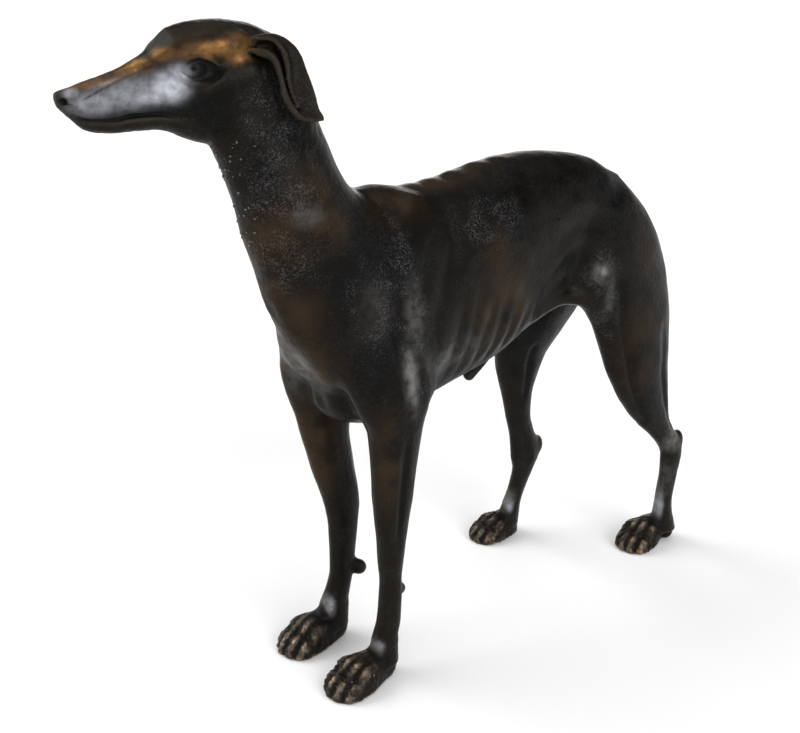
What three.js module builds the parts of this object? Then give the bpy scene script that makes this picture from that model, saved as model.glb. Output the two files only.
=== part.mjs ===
// Greyhound standing on its four paws, its head turned a little to its right: one hollow
// bronze casting, sand cast, chased and patinated dark, about two thirds of life size.
// The form is worked out as a field, lump by lump as in clay, then skinned and thinned.
// X points to the dog's left, Y from its head to its tail and Z up.
import * as THREE from "three";

const HEIGHT = 600; // ground to crown of the skull, mm
const CELL = 3.8; // spacing of the grid that the field is worked out on, mm
const FACETS = 9700; // triangles in the finished skin

// From here on lengths are shares, and one share is about the height at the withers.
const CROWN = 1.3095; // crown of the skull
const GROUND = 0.018; // level at which the soles are filed flat
const DEEPEST = 0.16; // how far from the middle plane a tooled line still reaches
const SHARE = HEIGHT / (CROWN - GROUND); // one share in mm
const FILED = 0.5; // metal that filing takes off the soles to true them, mm
const REACH = { low: [-0.26, -0.9, -0.02], high: [0.2, 0.64, 1.35] };

const ground = GROUND * SHARE;

// A frame has an origin and three directions: along, side and up.
const frame = (origin, along, side, up) => ({ origin, along, side, up });
const LENGTHWISE = frame([0, 0, 0], [0, 1, 0], [1, 0, 0], [0, 0, 1]);
const UPRIGHT = frame([0, 0, 0], [0, 0, 1], [1, 0, 0], [0, 1, 0]);

// A frame that looks ahead, turned to the dog's left by yaw and lifted by pitch, in degrees.
function facing(origin, yaw, pitch = 0) {
  const y = THREE.MathUtils.degToRad(yaw);
  const p = THREE.MathUtils.degToRad(pitch);
  const along = new THREE.Vector3(Math.sin(y) * Math.cos(p), -Math.cos(y) * Math.cos(p), Math.sin(p));
  const side = new THREE.Vector3(0, 0, 1).cross(along).normalize();
  const up = along.clone().cross(side);
  return frame(origin, along.toArray(), side.toArray(), up.toArray());
}

const dot = (a, b) => a[0] * b[0] + a[1] * b[1] + a[2] * b[2];

function inside(f, x, y, z) {
  const d = [x - f.origin[0], y - f.origin[1], z - f.origin[2]];
  return [dot(d, f.along), dot(d, f.side), dot(d, f.up)];
}

function outside(f, p) {
  return f.origin.map((o, i) => o + p[0] * f.along[i] + p[1] * f.side[i] + p[2] * f.up[i]);
}

// The field holds the distance to the skin at each grid node, below zero in the bronze.
const step = CELL / SHARE;
const count = REACH.low.map((low, i) => Math.ceil((REACH.high[i] - low) / step) + 1);
const field = new Float32Array(count[0] * count[1] * count[2]).fill(0.5);
const place = (axis, i) => REACH.low[axis] + i * step;
const nodeAt = (i, j, k) => (i * count[1] + j) * count[2] + k;

function softly(a, b, blend) {
  const h = THREE.MathUtils.clamp(0.5 + (0.5 * (b - a)) / blend, 0, 1);
  return b + (a - b) * h - blend * h * (1 - h);
}

// Goes over the nodes of the field inside the box that holds the corners.
function visit(corners, margin, change) {
  const from = [0, 1, 2].map((a) => Math.min(...corners.map((c) => c[a])) - margin);
  const to = [0, 1, 2].map((a) => Math.max(...corners.map((c) => c[a])) + margin);
  const first = from.map((v, a) => Math.max(0, Math.floor((v - REACH.low[a]) / step) - 2));
  const last = to.map((v, a) => Math.min(count[a] - 1, Math.ceil((v - REACH.low[a]) / step) + 2));
  for (let i = first[0]; i <= last[0]; i++) {
    for (let j = first[1]; j <= last[1]; j++) {
      for (let k = first[2]; k <= last[2]; k++) {
        change(nodeAt(i, j, k), place(0, i), place(1, j), place(2, k));
      }
    }
  }
}

// Adds a lump blended into what is there, or digs it out.
function lump(corners, margin, blend, distance, dig) {
  visit(corners, margin + blend, (n, x, y, z) => {
    const d = distance(x, y, z);
    field[n] = dig ? -softly(-field[n], d, blend) : softly(field[n], d, blend);
  });
}

// A smooth run of values through rows whose first entry is the station.
function through(rows) {
  const slope = rows.map(() => []);
  const rise = (i, c) => (rows[i + 1][c] - rows[i][c]) / (rows[i + 1][0] - rows[i][0]);
  const last = rows.length - 1;
  for (let c = 1; c < rows[0].length; c++) {
    rows.forEach((row, i) => {
      if (i === 0) slope[i][c] = rise(0, c);
      else if (i === last) slope[i][c] = rise(last - 1, c);
      else {
        const [before, after] = [rise(i - 1, c), rise(i, c)];
        slope[i][c] = before * after > 0 ? (2 * before * after) / (before + after) : 0;
      }
    });
  }
  return (station) => {
    let i = 0;
    while (i < last - 1 && station >= rows[i + 1][0]) i++;
    const h = rows[i + 1][0] - rows[i][0];
    const t = THREE.MathUtils.clamp((station - rows[i][0]) / h, 0, 1);
    const [t2, t3] = [t * t, t * t * t];
    return rows[i].map((v, c) => {
      if (c === 0) return station;
      const w = rows[i + 1][c];
      const hump = (2 * t3 - 3 * t2 + 1) * v + (-2 * t3 + 3 * t2) * w;
      return hump + h * ((t3 - 2 * t2 + t) * slope[i][c] + (t3 - t2) * slope[i + 1][c]);
    });
  };
}

// Distance to an oval of half sizes a and b, round at power 2 and squarer above it.
function oval(x, y, a, b, power = 2) {
  const [u, v] = [Math.abs(x) / a, Math.abs(y) / b];
  const ring = (u ** power + v ** power) ** (1 / power);
  return (ring * (ring - 1)) / (Math.hypot(u / a, v / b) + 1e-9);
}

// A body of oval sections: rows of station, upper edge, lower edge, half width and offset to
// the side, in a frame. The widest point is at the share middle of the section's height.
function loft(rows, { f = LENGTHWISE, blend = 0.02, middle = 0.5, power = 2 } = {}) {
  const full = rows.map((r) => (r.length < 5 ? [...r, 0] : r)).sort((a, b) => a[0] - b[0]);
  const section = through(full);
  const start = full[0][0];
  const end = full[full.length - 1][0];
  const rims = full.flatMap(([s, top, low, half, off]) =>
    [top, low].flatMap((u) => [off - half, off + half].map((side) => outside(f, [s, side, u]))));
  lump(rims, 0, blend, (x, y, z) => {
    const [s, side, u] = inside(f, x, y, z);
    const [, top, low, half, off] = section(s);
    const heart = low + middle * (top - low);
    const tall = (u > heart ? top - heart : heart - low) + 1e-4;
    const d = THREE.MathUtils.clamp(oval(side - off, u - heart, half + 1e-4, tall, power), -0.2, 0.5);
    const past = Math.max(start - s, s - end);
    return past > 0 ? Math.hypot(Math.max(d, 0), past) : Math.max(d, past);
  });
}

// An egg with three half sizes.
function egg(centre, half, { f = LENGTHWISE, blend = 0.02, dig = false } = {}) {
  lump([outside(f, centre)], Math.max(...half), blend, (x, y, z) => {
    const p = inside(f, x, y, z).map((v, i) => (v - centre[i]) / half[i]);
    const ring = Math.hypot(...p);
    return (ring * (ring - 1)) / (Math.hypot(...p.map((v, i) => v / half[i])) + 1e-9);
  }, dig);
}

// Points on a smooth curve that passes through the rows.
function curve(rows, pieces) {
  const last = rows.length - 1;
  const made = [];
  for (let i = 0; i < last; i++) {
    for (let n = 0; n < pieces; n++) {
      const t = n / pieces;
      made.push(rows[i].map((b, c) => {
        const d = rows[i + 1][c];
        const a = i ? rows[i - 1][c] : 2 * b - d;
        const e = i + 2 <= last ? rows[i + 2][c] : 2 * d - b;
        const [lift, bend] = [2 * a - 5 * b + 4 * d - e, 3 * b - a - 3 * d + e];
        return 0.5 * (2 * b + (d - a) * t + lift * t * t + bend * t * t * t);
      }));
    }
  }
  return [...made, rows[last]];
}

// A cord of muscle, bone or ear: rows of three coordinates, radius and flatness. A flatness
// above one makes it thinner across the frame's side, which is X in the body's own frame.
function cord(rows, { f, blend = 0.02, pieces = 6 } = {}) {
  const chain = curve(rows.map((r) => (r.length < 5 ? [...r, 1] : r)), pieces);
  const across = f ? 1 : 0;
  const knots = chain.map((p) => (f ? outside(f, p) : p));
  const links = chain.slice(1).map((b, i) => {
    const a = chain[i];
    const ab = [b[0] - a[0], b[1] - a[1], b[2] - a[2]];
    return { a, ab, long: dot(ab, ab) + 1e-12, swell: b[3] - a[3], flatter: b[4] - a[4] };
  });
  lump(knots, Math.max(...chain.map((p) => p[3])), blend, (x, y, z) => {
    const p = f ? inside(f, x, y, z) : [x, y, z];
    let nearest = Infinity;
    for (const { a, ab, long, swell, flatter } of links) {
      const r = [p[0] - a[0], p[1] - a[1], p[2] - a[2]];
      const t = THREE.MathUtils.clamp(dot(r, ab) / long, 0, 1);
      for (let i = 0; i < 3; i++) r[i] -= t * ab[i];
      const flat = a[4] + t * flatter;
      const away = Math.sqrt(dot(r, r) + (flat * flat - 1) * r[across] * r[across]);
      nearest = Math.min(nearest, (2 * (away - a[3] - t * swell)) / (1 + flat));
    }
    return nearest;
  });
}

// A line worked into the side s with a tool: rows of station, height, width and rise, which
// is below zero for a groove. It starts at the distance clear from the middle plane.
function tooled(rows, s, clear) {
  const chain = curve(rows, 6);
  const widest = Math.max(...chain.map((p) => p[2]));
  const corners = chain.flatMap((p) => [clear, DEEPEST].map((d) => [s * d, p[0], p[1]]));
  visit(corners, 2.5 * widest, (n, x, y, z) => {
    let [nearest, rise] = [Infinity, 0];
    chain.slice(1).forEach((b, i) => {
      const a = chain[i];
      const [ay, az] = [b[0] - a[0], b[1] - a[1]];
      const along = ((y - a[0]) * ay + (z - a[1]) * az) / (ay * ay + az * az);
      const t = THREE.MathUtils.clamp(along, 0, 1);
      const gap = Math.hypot(y - a[0] - t * ay, z - a[1] - t * az) / (a[2] + t * (b[2] - a[2]));
      if (gap < nearest) [nearest, rise] = [gap, a[3] + t * (b[3] - a[3])];
    });
    const face = THREE.MathUtils.clamp((s * x - clear) / 0.01, 0, 1);
    field[n] -= rise * face * Math.exp(-nearest * nearest);
  });
}

// Rows of a leg: height, front, back, offset to the side and half width.
function leg(rows, blend) {
  loft(rows.map(([z, front, back, x, half]) => [z, back, front, half, x]), { f: UPRIGHT, blend });
}

function trunk() {
  // from the point of the breast to the rump: station, top, bottom, half width
  loft([
    [-0.52, 0.84, 0.79, 0.012], [-0.495, 0.88, 0.745, 0.034], [-0.45, 0.925, 0.67, 0.064],
    [-0.38, 0.978, 0.574, 0.087], [-0.3, 1, 0.542, 0.102], [-0.2, 0.986, 0.55, 0.112],
    [-0.1, 0.994, 0.569, 0.117], [0, 1.009, 0.59, 0.114], [0.1, 1.014, 0.63, 0.104],
    [0.2, 1.005, 0.675, 0.092], [0.3, 0.983, 0.707, 0.085], [0.38, 0.937, 0.72, 0.078],
    [0.45, 0.857, 0.735, 0.06], [0.5, 0.79, 0.745, 0.03],
  ], { middle: 0.55 });
  // the breast between the forelegs, then the sheath
  egg([-0.34, 0, 0.602], [0.08, 0.065, 0.052], { blend: 0.045 });
  cord([[0, -0.026, 0.561, 0.013], [0, 0.02, 0.592, 0.012], [0, 0.075, 0.63, 0.006]], { blend: 0.01 });
}

function neck() {
  leg([
    [1.28, -0.6, -0.5, -0.02, 0.035], [1.2, -0.632, -0.448, -0.018, 0.056],
    [1.13, -0.636, -0.42, -0.01, 0.066], [1.05, -0.608, -0.388, -0.003, 0.076],
    [1, -0.592, -0.357, 0, 0.084], [0.944, -0.577, -0.305, 0, 0.091],
    [0.87, -0.55, -0.26, 0, 0.092], [0.8, -0.515, -0.24, 0, 0.082], [0.74, -0.48, -0.3, 0, 0.05],
  ], 0.05);
}

// Breast, shoulder blade, the muscle over the elbow and the point of the shoulder, on the
// side s: 1 left, -1 right.
function shoulder(s) {
  egg([-0.424, s * 0.044, 0.735], [0.05, 0.045, 0.085], { blend: 0.04 });
  const blade = [[s * 0.04, -0.235, 0.945, 0.02, 1.5], [s * 0.06, -0.29, 0.885, 0.038, 1.8]];
  cord([...blade, [s * 0.08, -0.375, 0.76, 0.045, 1.6]], { blend: 0.035 });
  const upper = [[s * 0.066, -0.235, 0.85, 0.05, 1.8], [s * 0.086, -0.24, 0.74, 0.052, 1.8]];
  cord([...upper, [s * 0.096, -0.245, 0.63, 0.034, 1.4]], { blend: 0.035 });
  egg([-0.392, s * 0.084, 0.815], [0.03, 0.018, 0.045]);
}

// A compact paw filed flat below, with four blunt toes side by side.
function paw(x, y, yaw, size) {
  const f = facing([x, y, GROUND], yaw);
  const sized = (row) => row.map((v) => v * size);
  const body = [
    [-0.052, 0.04, -0.004, 0.018], [-0.035, 0.056, -0.004, 0.028], [-0.01, 0.058, -0.004, 0.036],
    [0.015, 0.05, -0.004, 0.041], [0.04, 0.036, -0.004, 0.04], [0.056, 0.023, -0.004, 0.032],
    [0.067, 0.01, -0.004, 0.02],
  ];
  loft(body.map(sized), { f, blend: 0.012, middle: 0.2, power: 2.2 });
  for (const [side, reach, drop] of [[0.0275, 0.055, 0.005], [0.0095, 0.0655, 0]]) {
    for (const s of [1, -1]) {
      const toe = [
        [-0.08 * reach, s * 0.8 * side, 0.046 - drop, 0.007],
        [0.28 * reach, s * 0.95 * side, 0.0445 - drop, 0.0105],
        [0.55 * reach, s * side, 0.032 - drop, 0.0098],
        [0.8 * reach, s * side, 0.022 - drop / 2, 0.0112], [reach, s * 0.95 * side, 0.009, 0.0088],
      ];
      cord(toe.map(sized), { f, blend: 0.004, pieces: 5 });
    }
  }
}

function forelegs() {
  leg([
    [0.78, -0.43, -0.3, 0.07, 0.02], [0.72, -0.445, -0.25, 0.078, 0.038],
    [0.66, -0.43, -0.235, 0.088, 0.046], [0.6, -0.405, -0.242, 0.096, 0.047],
    [0.54, -0.378, -0.262, 0.1, 0.042], [0.47, -0.374, -0.272, 0.1, 0.0345],
    [0.4, -0.37, -0.281, 0.1, 0.0305], [0.31, -0.358, -0.297, 0.099, 0.0255],
    [0.22, -0.35, -0.304, 0.097, 0.0215], [0.14, -0.358, -0.304, 0.097, 0.0215],
    [0.09, -0.372, -0.314, 0.096, 0.023], [0.05, -0.38, -0.316, 0.099, 0.026],
  ], 0.025);
  paw(0.096, -0.402, 4, 1.13);
  leg([
    [0.78, -0.44, -0.3, -0.07, 0.02], [0.72, -0.448, -0.25, -0.078, 0.038],
    [0.66, -0.446, -0.24, -0.086, 0.045], [0.6, -0.432, -0.255, -0.09, 0.045],
    [0.54, -0.41, -0.275, -0.089, 0.04], [0.49, -0.398, -0.288, -0.085, 0.036],
    [0.4, -0.372, -0.276, -0.082, 0.0315], [0.32, -0.346, -0.266, -0.079, 0.0275],
    [0.27, -0.338, -0.272, -0.078, 0.0255], [0.18, -0.336, -0.281, -0.078, 0.022],
    [0.1, -0.363, -0.298, -0.079, 0.025], [0.05, -0.388, -0.303, -0.081, 0.028],
  ], 0.025);
  paw(-0.087, -0.379, 3, 1.15);
  // the small stopper pads behind the wrists
  cord([[0.078, -0.3, 0.19, 0.013], [0.068, -0.278, 0.178, 0.013]], { blend: 0.008 });
  cord([[-0.072, -0.298, 0.19, 0.012], [-0.06, -0.278, 0.174, 0.0165]], { blend: 0.008 });
}

function hindlegs() {
  // the left one is stretched back, the right one stands under the body
  leg([
    [0.93, 0.32, 0.38, 0.02, 0.01], [0.88, 0.26, 0.43, 0.045, 0.035],
    [0.82, 0.22, 0.474, 0.057, 0.05], [0.76, 0.21, 0.5, 0.065, 0.055],
    [0.7, 0.228, 0.514, 0.073, 0.055], [0.62, 0.277, 0.519, 0.084, 0.053],
    [0.55, 0.305, 0.517, 0.091, 0.049], [0.5, 0.323, 0.518, 0.096, 0.043],
    [0.45, 0.351, 0.522, 0.1, 0.036], [0.4, 0.388, 0.527, 0.103, 0.03],
    [0.36, 0.428, 0.534, 0.105, 0.0255], [0.32, 0.474, 0.552, 0.107, 0.0225],
    [0.285, 0.51, 0.586, 0.108, 0.0215], [0.25, 0.53, 0.592, 0.108, 0.0215],
    [0.2, 0.532, 0.584, 0.107, 0.0195], [0.134, 0.53, 0.577, 0.103, 0.0195],
    [0.09, 0.527, 0.584, 0.101, 0.022], [0.045, 0.525, 0.6, 0.1, 0.029],
  ], 0.035);
  egg([0.579, 0.108, 0.285], [0.013, 0.014, 0.02], { blend: 0.012 });
  paw(0.082, 0.511, 6, 1.09);
  leg([
    [0.93, 0.3, 0.37, -0.02, 0.01], [0.88, 0.23, 0.42, -0.045, 0.035],
    [0.82, 0.19, 0.45, -0.057, 0.05], [0.76, 0.165, 0.452, -0.067, 0.055],
    [0.7, 0.155, 0.438, -0.078, 0.055], [0.62, 0.16, 0.412, -0.092, 0.052],
    [0.56, 0.17, 0.372, -0.105, 0.047], [0.5, 0.184, 0.328, -0.116, 0.04],
    [0.45, 0.2, 0.305, -0.118, 0.034], [0.41, 0.214, 0.297, -0.12, 0.029],
    [0.36, 0.228, 0.298, -0.121, 0.0245], [0.31, 0.241, 0.314, -0.122, 0.0215],
    [0.27, 0.251, 0.342, -0.124, 0.0215], [0.24, 0.258, 0.348, -0.128, 0.021],
    [0.2, 0.272, 0.334, -0.135, 0.0195], [0.15, 0.275, 0.323, -0.147, 0.0185],
    [0.1, 0.266, 0.316, -0.157, 0.021], [0.05, 0.256, 0.317, -0.166, 0.024],
  ], 0.035);
  egg([0.338, -0.124, 0.262], [0.013, 0.013, 0.02], { blend: 0.012 });
  paw(-0.178, 0.266, -6, 1.02);
}

// The tail hangs close behind the thighs and lies against the inside of the left hind leg.
function tail() {
  cord([
    [0, 0.43, 0.865, 0.03], [0, 0.49, 0.8, 0.025], [0.005, 0.52, 0.7, 0.02],
    [0.02, 0.512, 0.58, 0.017], [0.055, 0.508, 0.47, 0.0145], [0.083, 0.528, 0.375, 0.011],
  ], { blend: 0.02 });
}

function head() {
  const f = facing([-0.02, -0.53, 1.235], -17, -5);
  // skull and muzzle from the nape to the tip of the nose, then the lower jaw
  loft([
    [-0.05, 0.012, -0.06, 0.03], [-0.02, 0.049, -0.08, 0.048], [0.02, 0.071, -0.085, 0.056],
    [0.06, 0.08, -0.085, 0.059], [0.1, 0.082, -0.082, 0.058], [0.145, 0.076, -0.068, 0.051],
    [0.168, 0.059, -0.059, 0.0445], [0.184, 0.044, -0.056, 0.04], [0.213, 0.03, -0.054, 0.0345],
    [0.25, 0.018, -0.056, 0.03], [0.29, 0.009, -0.053, 0.0255], [0.312, 0.004, -0.045, 0.0225],
    [0.328, 0, -0.038, 0.019], [0.341, -0.004, -0.026, 0.012],
  ], { f, blend: 0.015, middle: 0.45, power: 2.3 });
  loft([
    [-0.03, -0.02, -0.085, 0.03], [0.02, -0.03, -0.105, 0.045], [0.06, -0.035, -0.114, 0.048],
    [0.1, -0.04, -0.12, 0.045], [0.145, -0.042, -0.104, 0.0375], [0.168, -0.044, -0.091, 0.0345],
    [0.193, -0.044, -0.083, 0.031], [0.25, -0.043, -0.08, 0.0265], [0.29, -0.038, -0.073, 0.0225],
    [0.306, -0.034, -0.066, 0.019], [0.318, -0.03, -0.053, 0.014], [0.327, -0.026, -0.04, 0.009],
  ], { f, blend: 0.01, middle: 0.6 });
  egg([0.329, 0, -0.013], [0.014, 0.0165, 0.0125], { f, blend: 0.006 });
  for (const s of [1, -1]) {
    // cheek, cheekbone and brow
    egg([0.05, s * 0.034, -0.04], [0.068, 0.032, 0.052], { f });
    cord([[0.105, s * 0.047, -0.012, 0.014], [0.03, s * 0.054, -0.004, 0.014]], { f });
    cord([
      [0.165, s * 0.032, 0.034, 0.008], [0.135, s * 0.044, 0.046, 0.01],
      [0.095, s * 0.049, 0.049, 0.0105], [0.05, s * 0.05, 0.044, 0.01],
    ], { f });
    // the eye is a ball set in a dug socket
    egg([0.116, s * 0.067, 0.013], [0.035, 0.015, 0.022], { f, blend: 0.009, dig: true });
    egg([0.117, s * 0.043, 0.012], [0.022, 0.0165, 0.017], { f, blend: 0.003 });
    // the ear is folded back along the neck, with a rolled front rim and a hollow at its root
    cord([
      [0.012, s * 0.052, 0.036, 0.012, 1.4], [-0.01, s * 0.065, 0.035, 0.016, 2],
      [-0.0295, s * 0.074, 0.012, 0.022, 2.6], [-0.0355, s * 0.079, -0.02, 0.0235, 2.6],
      [-0.046, s * 0.081, -0.055, 0.0215, 2.6], [-0.058, s * 0.082, -0.078, 0.015, 2.4],
      [-0.075, s * 0.082, -0.094, 0.005, 1.6],
    ], { f, blend: 0.005, pieces: 8 });
    cord([
      [0.01, s * 0.064, 0.038, 0.0055], [-0.005, s * 0.077, 0.023, 0.008],
      [-0.0135, s * 0.0835, -0.016, 0.008], [-0.0175, s * 0.0865, -0.052, 0.0075],
      [-0.029, s * 0.087, -0.079, 0.0065], [-0.05, s * 0.085, -0.095, 0.005],
    ], { f, blend: 0.004 });
    egg([0.002, s * 0.075, 0.032], [0.017, 0.014, 0.011], { f, blend: 0.004, dig: true });
  }
}

// The lean muscles and ribs under the skin, drawn with a loop tool on the side s.
function muscles(s) {
  const neckAndBreast = [
    [[-0.54, 1.13, 0.02, 0.001], [-0.51, 1.08, 0.024, 0.005], [-0.476, 1.01, 0.026, 0.005],
      [-0.43, 0.92, 0.026, 0.003], [-0.41, 0.86, 0.02, 0.001]],
    [[-0.585, 1.1, 0.014, -0.002], [-0.555, 0.99, 0.018, -0.005], [-0.52, 0.89, 0.018, -0.005],
      [-0.48, 0.8, 0.016, -0.003], [-0.45, 0.76, 0.014, -0.001]],
    [[-0.345, 1.01, 0.008, -0.004], [-0.315, 0.96, 0.01, -0.006], [-0.325, 0.92, 0.012, -0.003],
      [-0.35, 0.89, 0.013, -0.001]],
  ];
  const shoulderLines = [
    [[-0.37, 0.88, 0.018, -0.001], [-0.39, 0.84, 0.02, -0.004], [-0.42, 0.78, 0.018, -0.004],
      [-0.445, 0.73, 0.014, -0.001]],
    [[-0.2, 0.95, 0.018, 0.001], [-0.26, 0.9, 0.02, 0.004], [-0.31, 0.84, 0.02, 0.004],
      [-0.35, 0.79, 0.018, 0.001]],
    [[-0.165, 0.96, 0.016, -0.001], [-0.185, 0.88, 0.022, -0.004], [-0.215, 0.8, 0.024, -0.006],
      [-0.235, 0.735, 0.022, -0.007], [-0.225, 0.66, 0.02, -0.006], [-0.21, 0.6, 0.016, -0.002]],
    [[-0.265, 0.88, 0.018, 0.001], [-0.29, 0.81, 0.02, 0.004], [-0.285, 0.73, 0.019, 0.006],
      [-0.27, 0.65, 0.017, 0.006], [-0.265, 0.59, 0.014, 0.002]],
    [[-0.33, 0.84, 0.015, -0.001], [-0.345, 0.79, 0.016, -0.003], [-0.335, 0.71, 0.016, -0.004],
      [-0.32, 0.63, 0.014, -0.003], [-0.315, 0.57, 0.012, -0.001]],
  ];
  const hip = [
    [[0.11, 0.885, 0.016, 0.001], [0.19, 0.905, 0.017, 0.003], [0.26, 0.893, 0.016, 0.003],
      [0.33, 0.862, 0.015, 0.001]],
    [[0.1, 0.845, 0.015, 0], [0.16, 0.862, 0.016, -0.003], [0.23, 0.866, 0.016, -0.0035],
      [0.3, 0.838, 0.015, -0.001]],
    [[0.12, 0.8, 0.015, 0.001], [0.17, 0.826, 0.016, 0.003], [0.225, 0.828, 0.016, 0.003],
      [0.275, 0.8, 0.015, 0.001]],
    [[0.12, 0.76, 0.018, -0.001], [0.165, 0.782, 0.02, -0.005], [0.21, 0.775, 0.02, -0.0045],
      [0.23, 0.74, 0.018, -0.001]],
  ];
  for (const line of neckAndBreast) tooled(line, s, 0.02);
  for (const line of shoulderLines) tooled(line, s, 0.04);
  for (const line of hip) tooled(line, s, 0.03);
  // hollows between the ribs: upper end and depth, one for every 0.042 from the elbow back
  const hollows = [
    [0.8, 0.003], [0.83, 0.0045], [0.8, 0.0055], [0.82, 0.005], [0.79, 0.0055], [0.8, 0.0045],
    [0.78, 0.004],
  ];
  hollows.forEach(([top, deep], n) => {
    const y = -0.17 + 0.042 * n;
    const foot = 0.575 + 0.012 * n + Math.max(0, n - 3) * 0.009;
    tooled([
      [y + 0.02, top, 0.013, 0], [y + 0.01, top - 0.05, 0.013, -0.4 * deep],
      [y + 0.006, 0.7, 0.012, -deep], [y + 0.004, 0.65, 0.012, -deep], [y - 0.008, foot, 0.012, -0.001],
    ], s, 0.04);
  });
  // the fold of skin from the belly to the stifle, which is further back on the left
  const back = s > 0 ? 0.045 : 0;
  cord([
    [s * 0.055, 0.08 + back / 2, 0.68, 0.01], [s * 0.066, 0.135 + back, 0.696, 0.012],
    [s * 0.085, 0.21 + back, 0.685, 0.016],
  ], { blend: 0.03 });
  egg([0.22 + back, s * 0.096, 0.75], [0.02, 0.016, 0.036], { blend: 0.025 });
}

// The soles are filed to one level, so that the dog stands by itself.
function fileSoles() {
  for (let i = 0; i < count[0]; i++) {
    for (let j = 0; j < count[1]; j++) {
      for (let k = 0; k < count[2]; k++) {
        const n = nodeAt(i, j, k);
        field[n] = Math.max(field[n], GROUND - place(2, k));
      }
    }
  }
}

const corners = [0, 1, 2, 3, 4, 5, 6, 7].map((c) => [(c >> 2) & 1, (c >> 1) & 1, c & 1]);

// Where bronze would meet bronze along an edge or at a corner only, the nearest node between
// them is filled, as metal runs in there, and so the skin is one closed body.
function fillPinches() {
  const squares = [[0, 4, 6, 2], [0, 2, 3, 1], [0, 1, 5, 4]];
  let filled = 0;
  const fill = (nodes) => {
    const open = nodes.filter((n) => field[n] >= 0);
    const nearest = open.reduce((best, n) => (field[n] < field[best] ? n : best));
    field[nearest] = -0.2 * step;
    filled++;
  };
  for (let i = 0; i + 1 < count[0]; i++) {
    for (let j = 0; j + 1 < count[1]; j++) {
      for (let k = 0; k + 1 < count[2]; k++) {
        const nodes = corners.map(([a, b, c]) => nodeAt(i + a, j + b, k + c));
        const full = nodes.filter((n) => field[n] < 0).length;
        if (full === 0 || full === 8) continue;
        for (const square of squares) {
          const [a, b, c, d] = square.map((v) => field[nodes[v]] < 0);
          if (a === c && b === d && a !== b) fill(square.map((v) => nodes[v]));
        }
        for (const v of [0, 1, 2, 3]) {
          const [a, b] = [field[nodes[v]] < 0, field[nodes[7 - v]] < 0];
          if (a === b && full === (a ? 2 : 6)) fill(nodes);
        }
      }
    }
  }
  return filled;
}

// Lays a skin of four-sided patches over the field, one point in each cell that it crosses.
function skin() {
  const edges = [];
  for (let a = 0; a < 8; a++) {
    for (const bit of [1, 2, 4]) if (!(a & bit)) edges.push([a, a | bit]);
  }
  const points = [];
  const pointOf = new Int32Array(field.length).fill(-1);
  for (let i = 0; i + 1 < count[0]; i++) {
    for (let j = 0; j + 1 < count[1]; j++) {
      for (let k = 0; k + 1 < count[2]; k++) {
        const d = corners.map(([a, b, c]) => field[nodeAt(i + a, j + b, k + c)]);
        const crossed = edges.filter(([a, b]) => d[a] < 0 !== d[b] < 0);
        if (!crossed.length) continue;
        const sum = [0, 0, 0];
        for (const [a, b] of crossed) {
          const t = d[a] / (d[a] - d[b]);
          for (let c = 0; c < 3; c++) sum[c] += corners[a][c] + t * (corners[b][c] - corners[a][c]);
        }
        pointOf[nodeAt(i, j, k)] = points.length;
        points.push([i, j, k].map((n, c) => place(c, n + sum[c] / crossed.length) * SHARE));
      }
    }
  }
  const faces = [];
  for (let i = 1; i + 1 < count[0]; i++) {
    for (let j = 1; j + 1 < count[1]; j++) {
      for (let k = 1; k + 1 < count[2]; k++) {
        const here = field[nodeAt(i, j, k)] < 0;
        const unit = [[1, 0, 0], [0, 1, 0], [0, 0, 1]];
        unit.forEach(([a, b, c], axis) => {
          if (field[nodeAt(i + a, j + b, k + c)] < 0 === here) return;
          const u = unit[(axis + 1) % 3];
          const w = unit[(axis + 2) % 3];
          const cell = (p, q) =>
            pointOf[nodeAt(i - p * u[0] - q * w[0], j - p * u[1] - q * w[1], k - p * u[2] - q * w[2])];
          const ring = [cell(1, 1), cell(0, 1), cell(0, 0), cell(1, 0)];
          if (!here) ring.reverse();
          faces.push([ring[0], ring[1], ring[2]], [ring[0], ring[2], ring[3]]);
        });
      }
    }
  }
  return { points, faces };
}

// The head and the paws carry the finest carving, so their skin is thinned less.
const worth = ([, , z]) => (z > 1.12 * SHARE ? 4 : z < 0.11 * SHARE ? 2.5 : 1);

const minus = (a, b) => [a[0] - b[0], a[1] - b[1], a[2] - b[2]];
const cross = (a, b) =>
  [a[1] * b[2] - a[2] * b[1], a[2] * b[0] - a[0] * b[2], a[0] * b[1] - a[1] * b[0]];
const normalOf = (a, b, c) => cross(minus(b, a), minus(c, a));

// Adds the square of the distance to the plane n.p + d = 0, times a weight, to a quadric.
function addPlane(quadric, n, d, weight) {
  const p = [...n, d];
  let slot = 0;
  for (let r = 0; r < 4; r++) {
    for (let c = r; c < 4; c++) quadric[slot++] += weight * p[r] * p[c];
  }
}

function quadricAt(q, [x, y, z]) {
  const squares = q[0] * x * x + q[4] * y * y + q[7] * z * z + q[9];
  return squares + 2 * (q[1] * x * y + q[2] * x * z + q[5] * y * z + q[3] * x + q[6] * y + q[8] * z);
}

// The point with the least cost near the middle of an edge.
function bestPoint(q, middle, pull) {
  const a = [[q[0] + pull, q[1], q[2]], [q[1], q[4] + pull, q[5]], [q[2], q[5], q[7] + pull]];
  const b = [pull * middle[0] - q[3], pull * middle[1] - q[6], pull * middle[2] - q[8]];
  const whole = dot(a[0], cross(a[1], a[2]));
  if (Math.abs(whole) < 1e-12) return middle;
  const columns = [cross(a[1], a[2]), cross(a[2], a[0]), cross(a[0], a[1])];
  return [0, 1, 2].map((c) => (columns[0][c] * b[0] + columns[1][c] * b[1] + columns[2][c] * b[2]) / whole);
}

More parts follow.
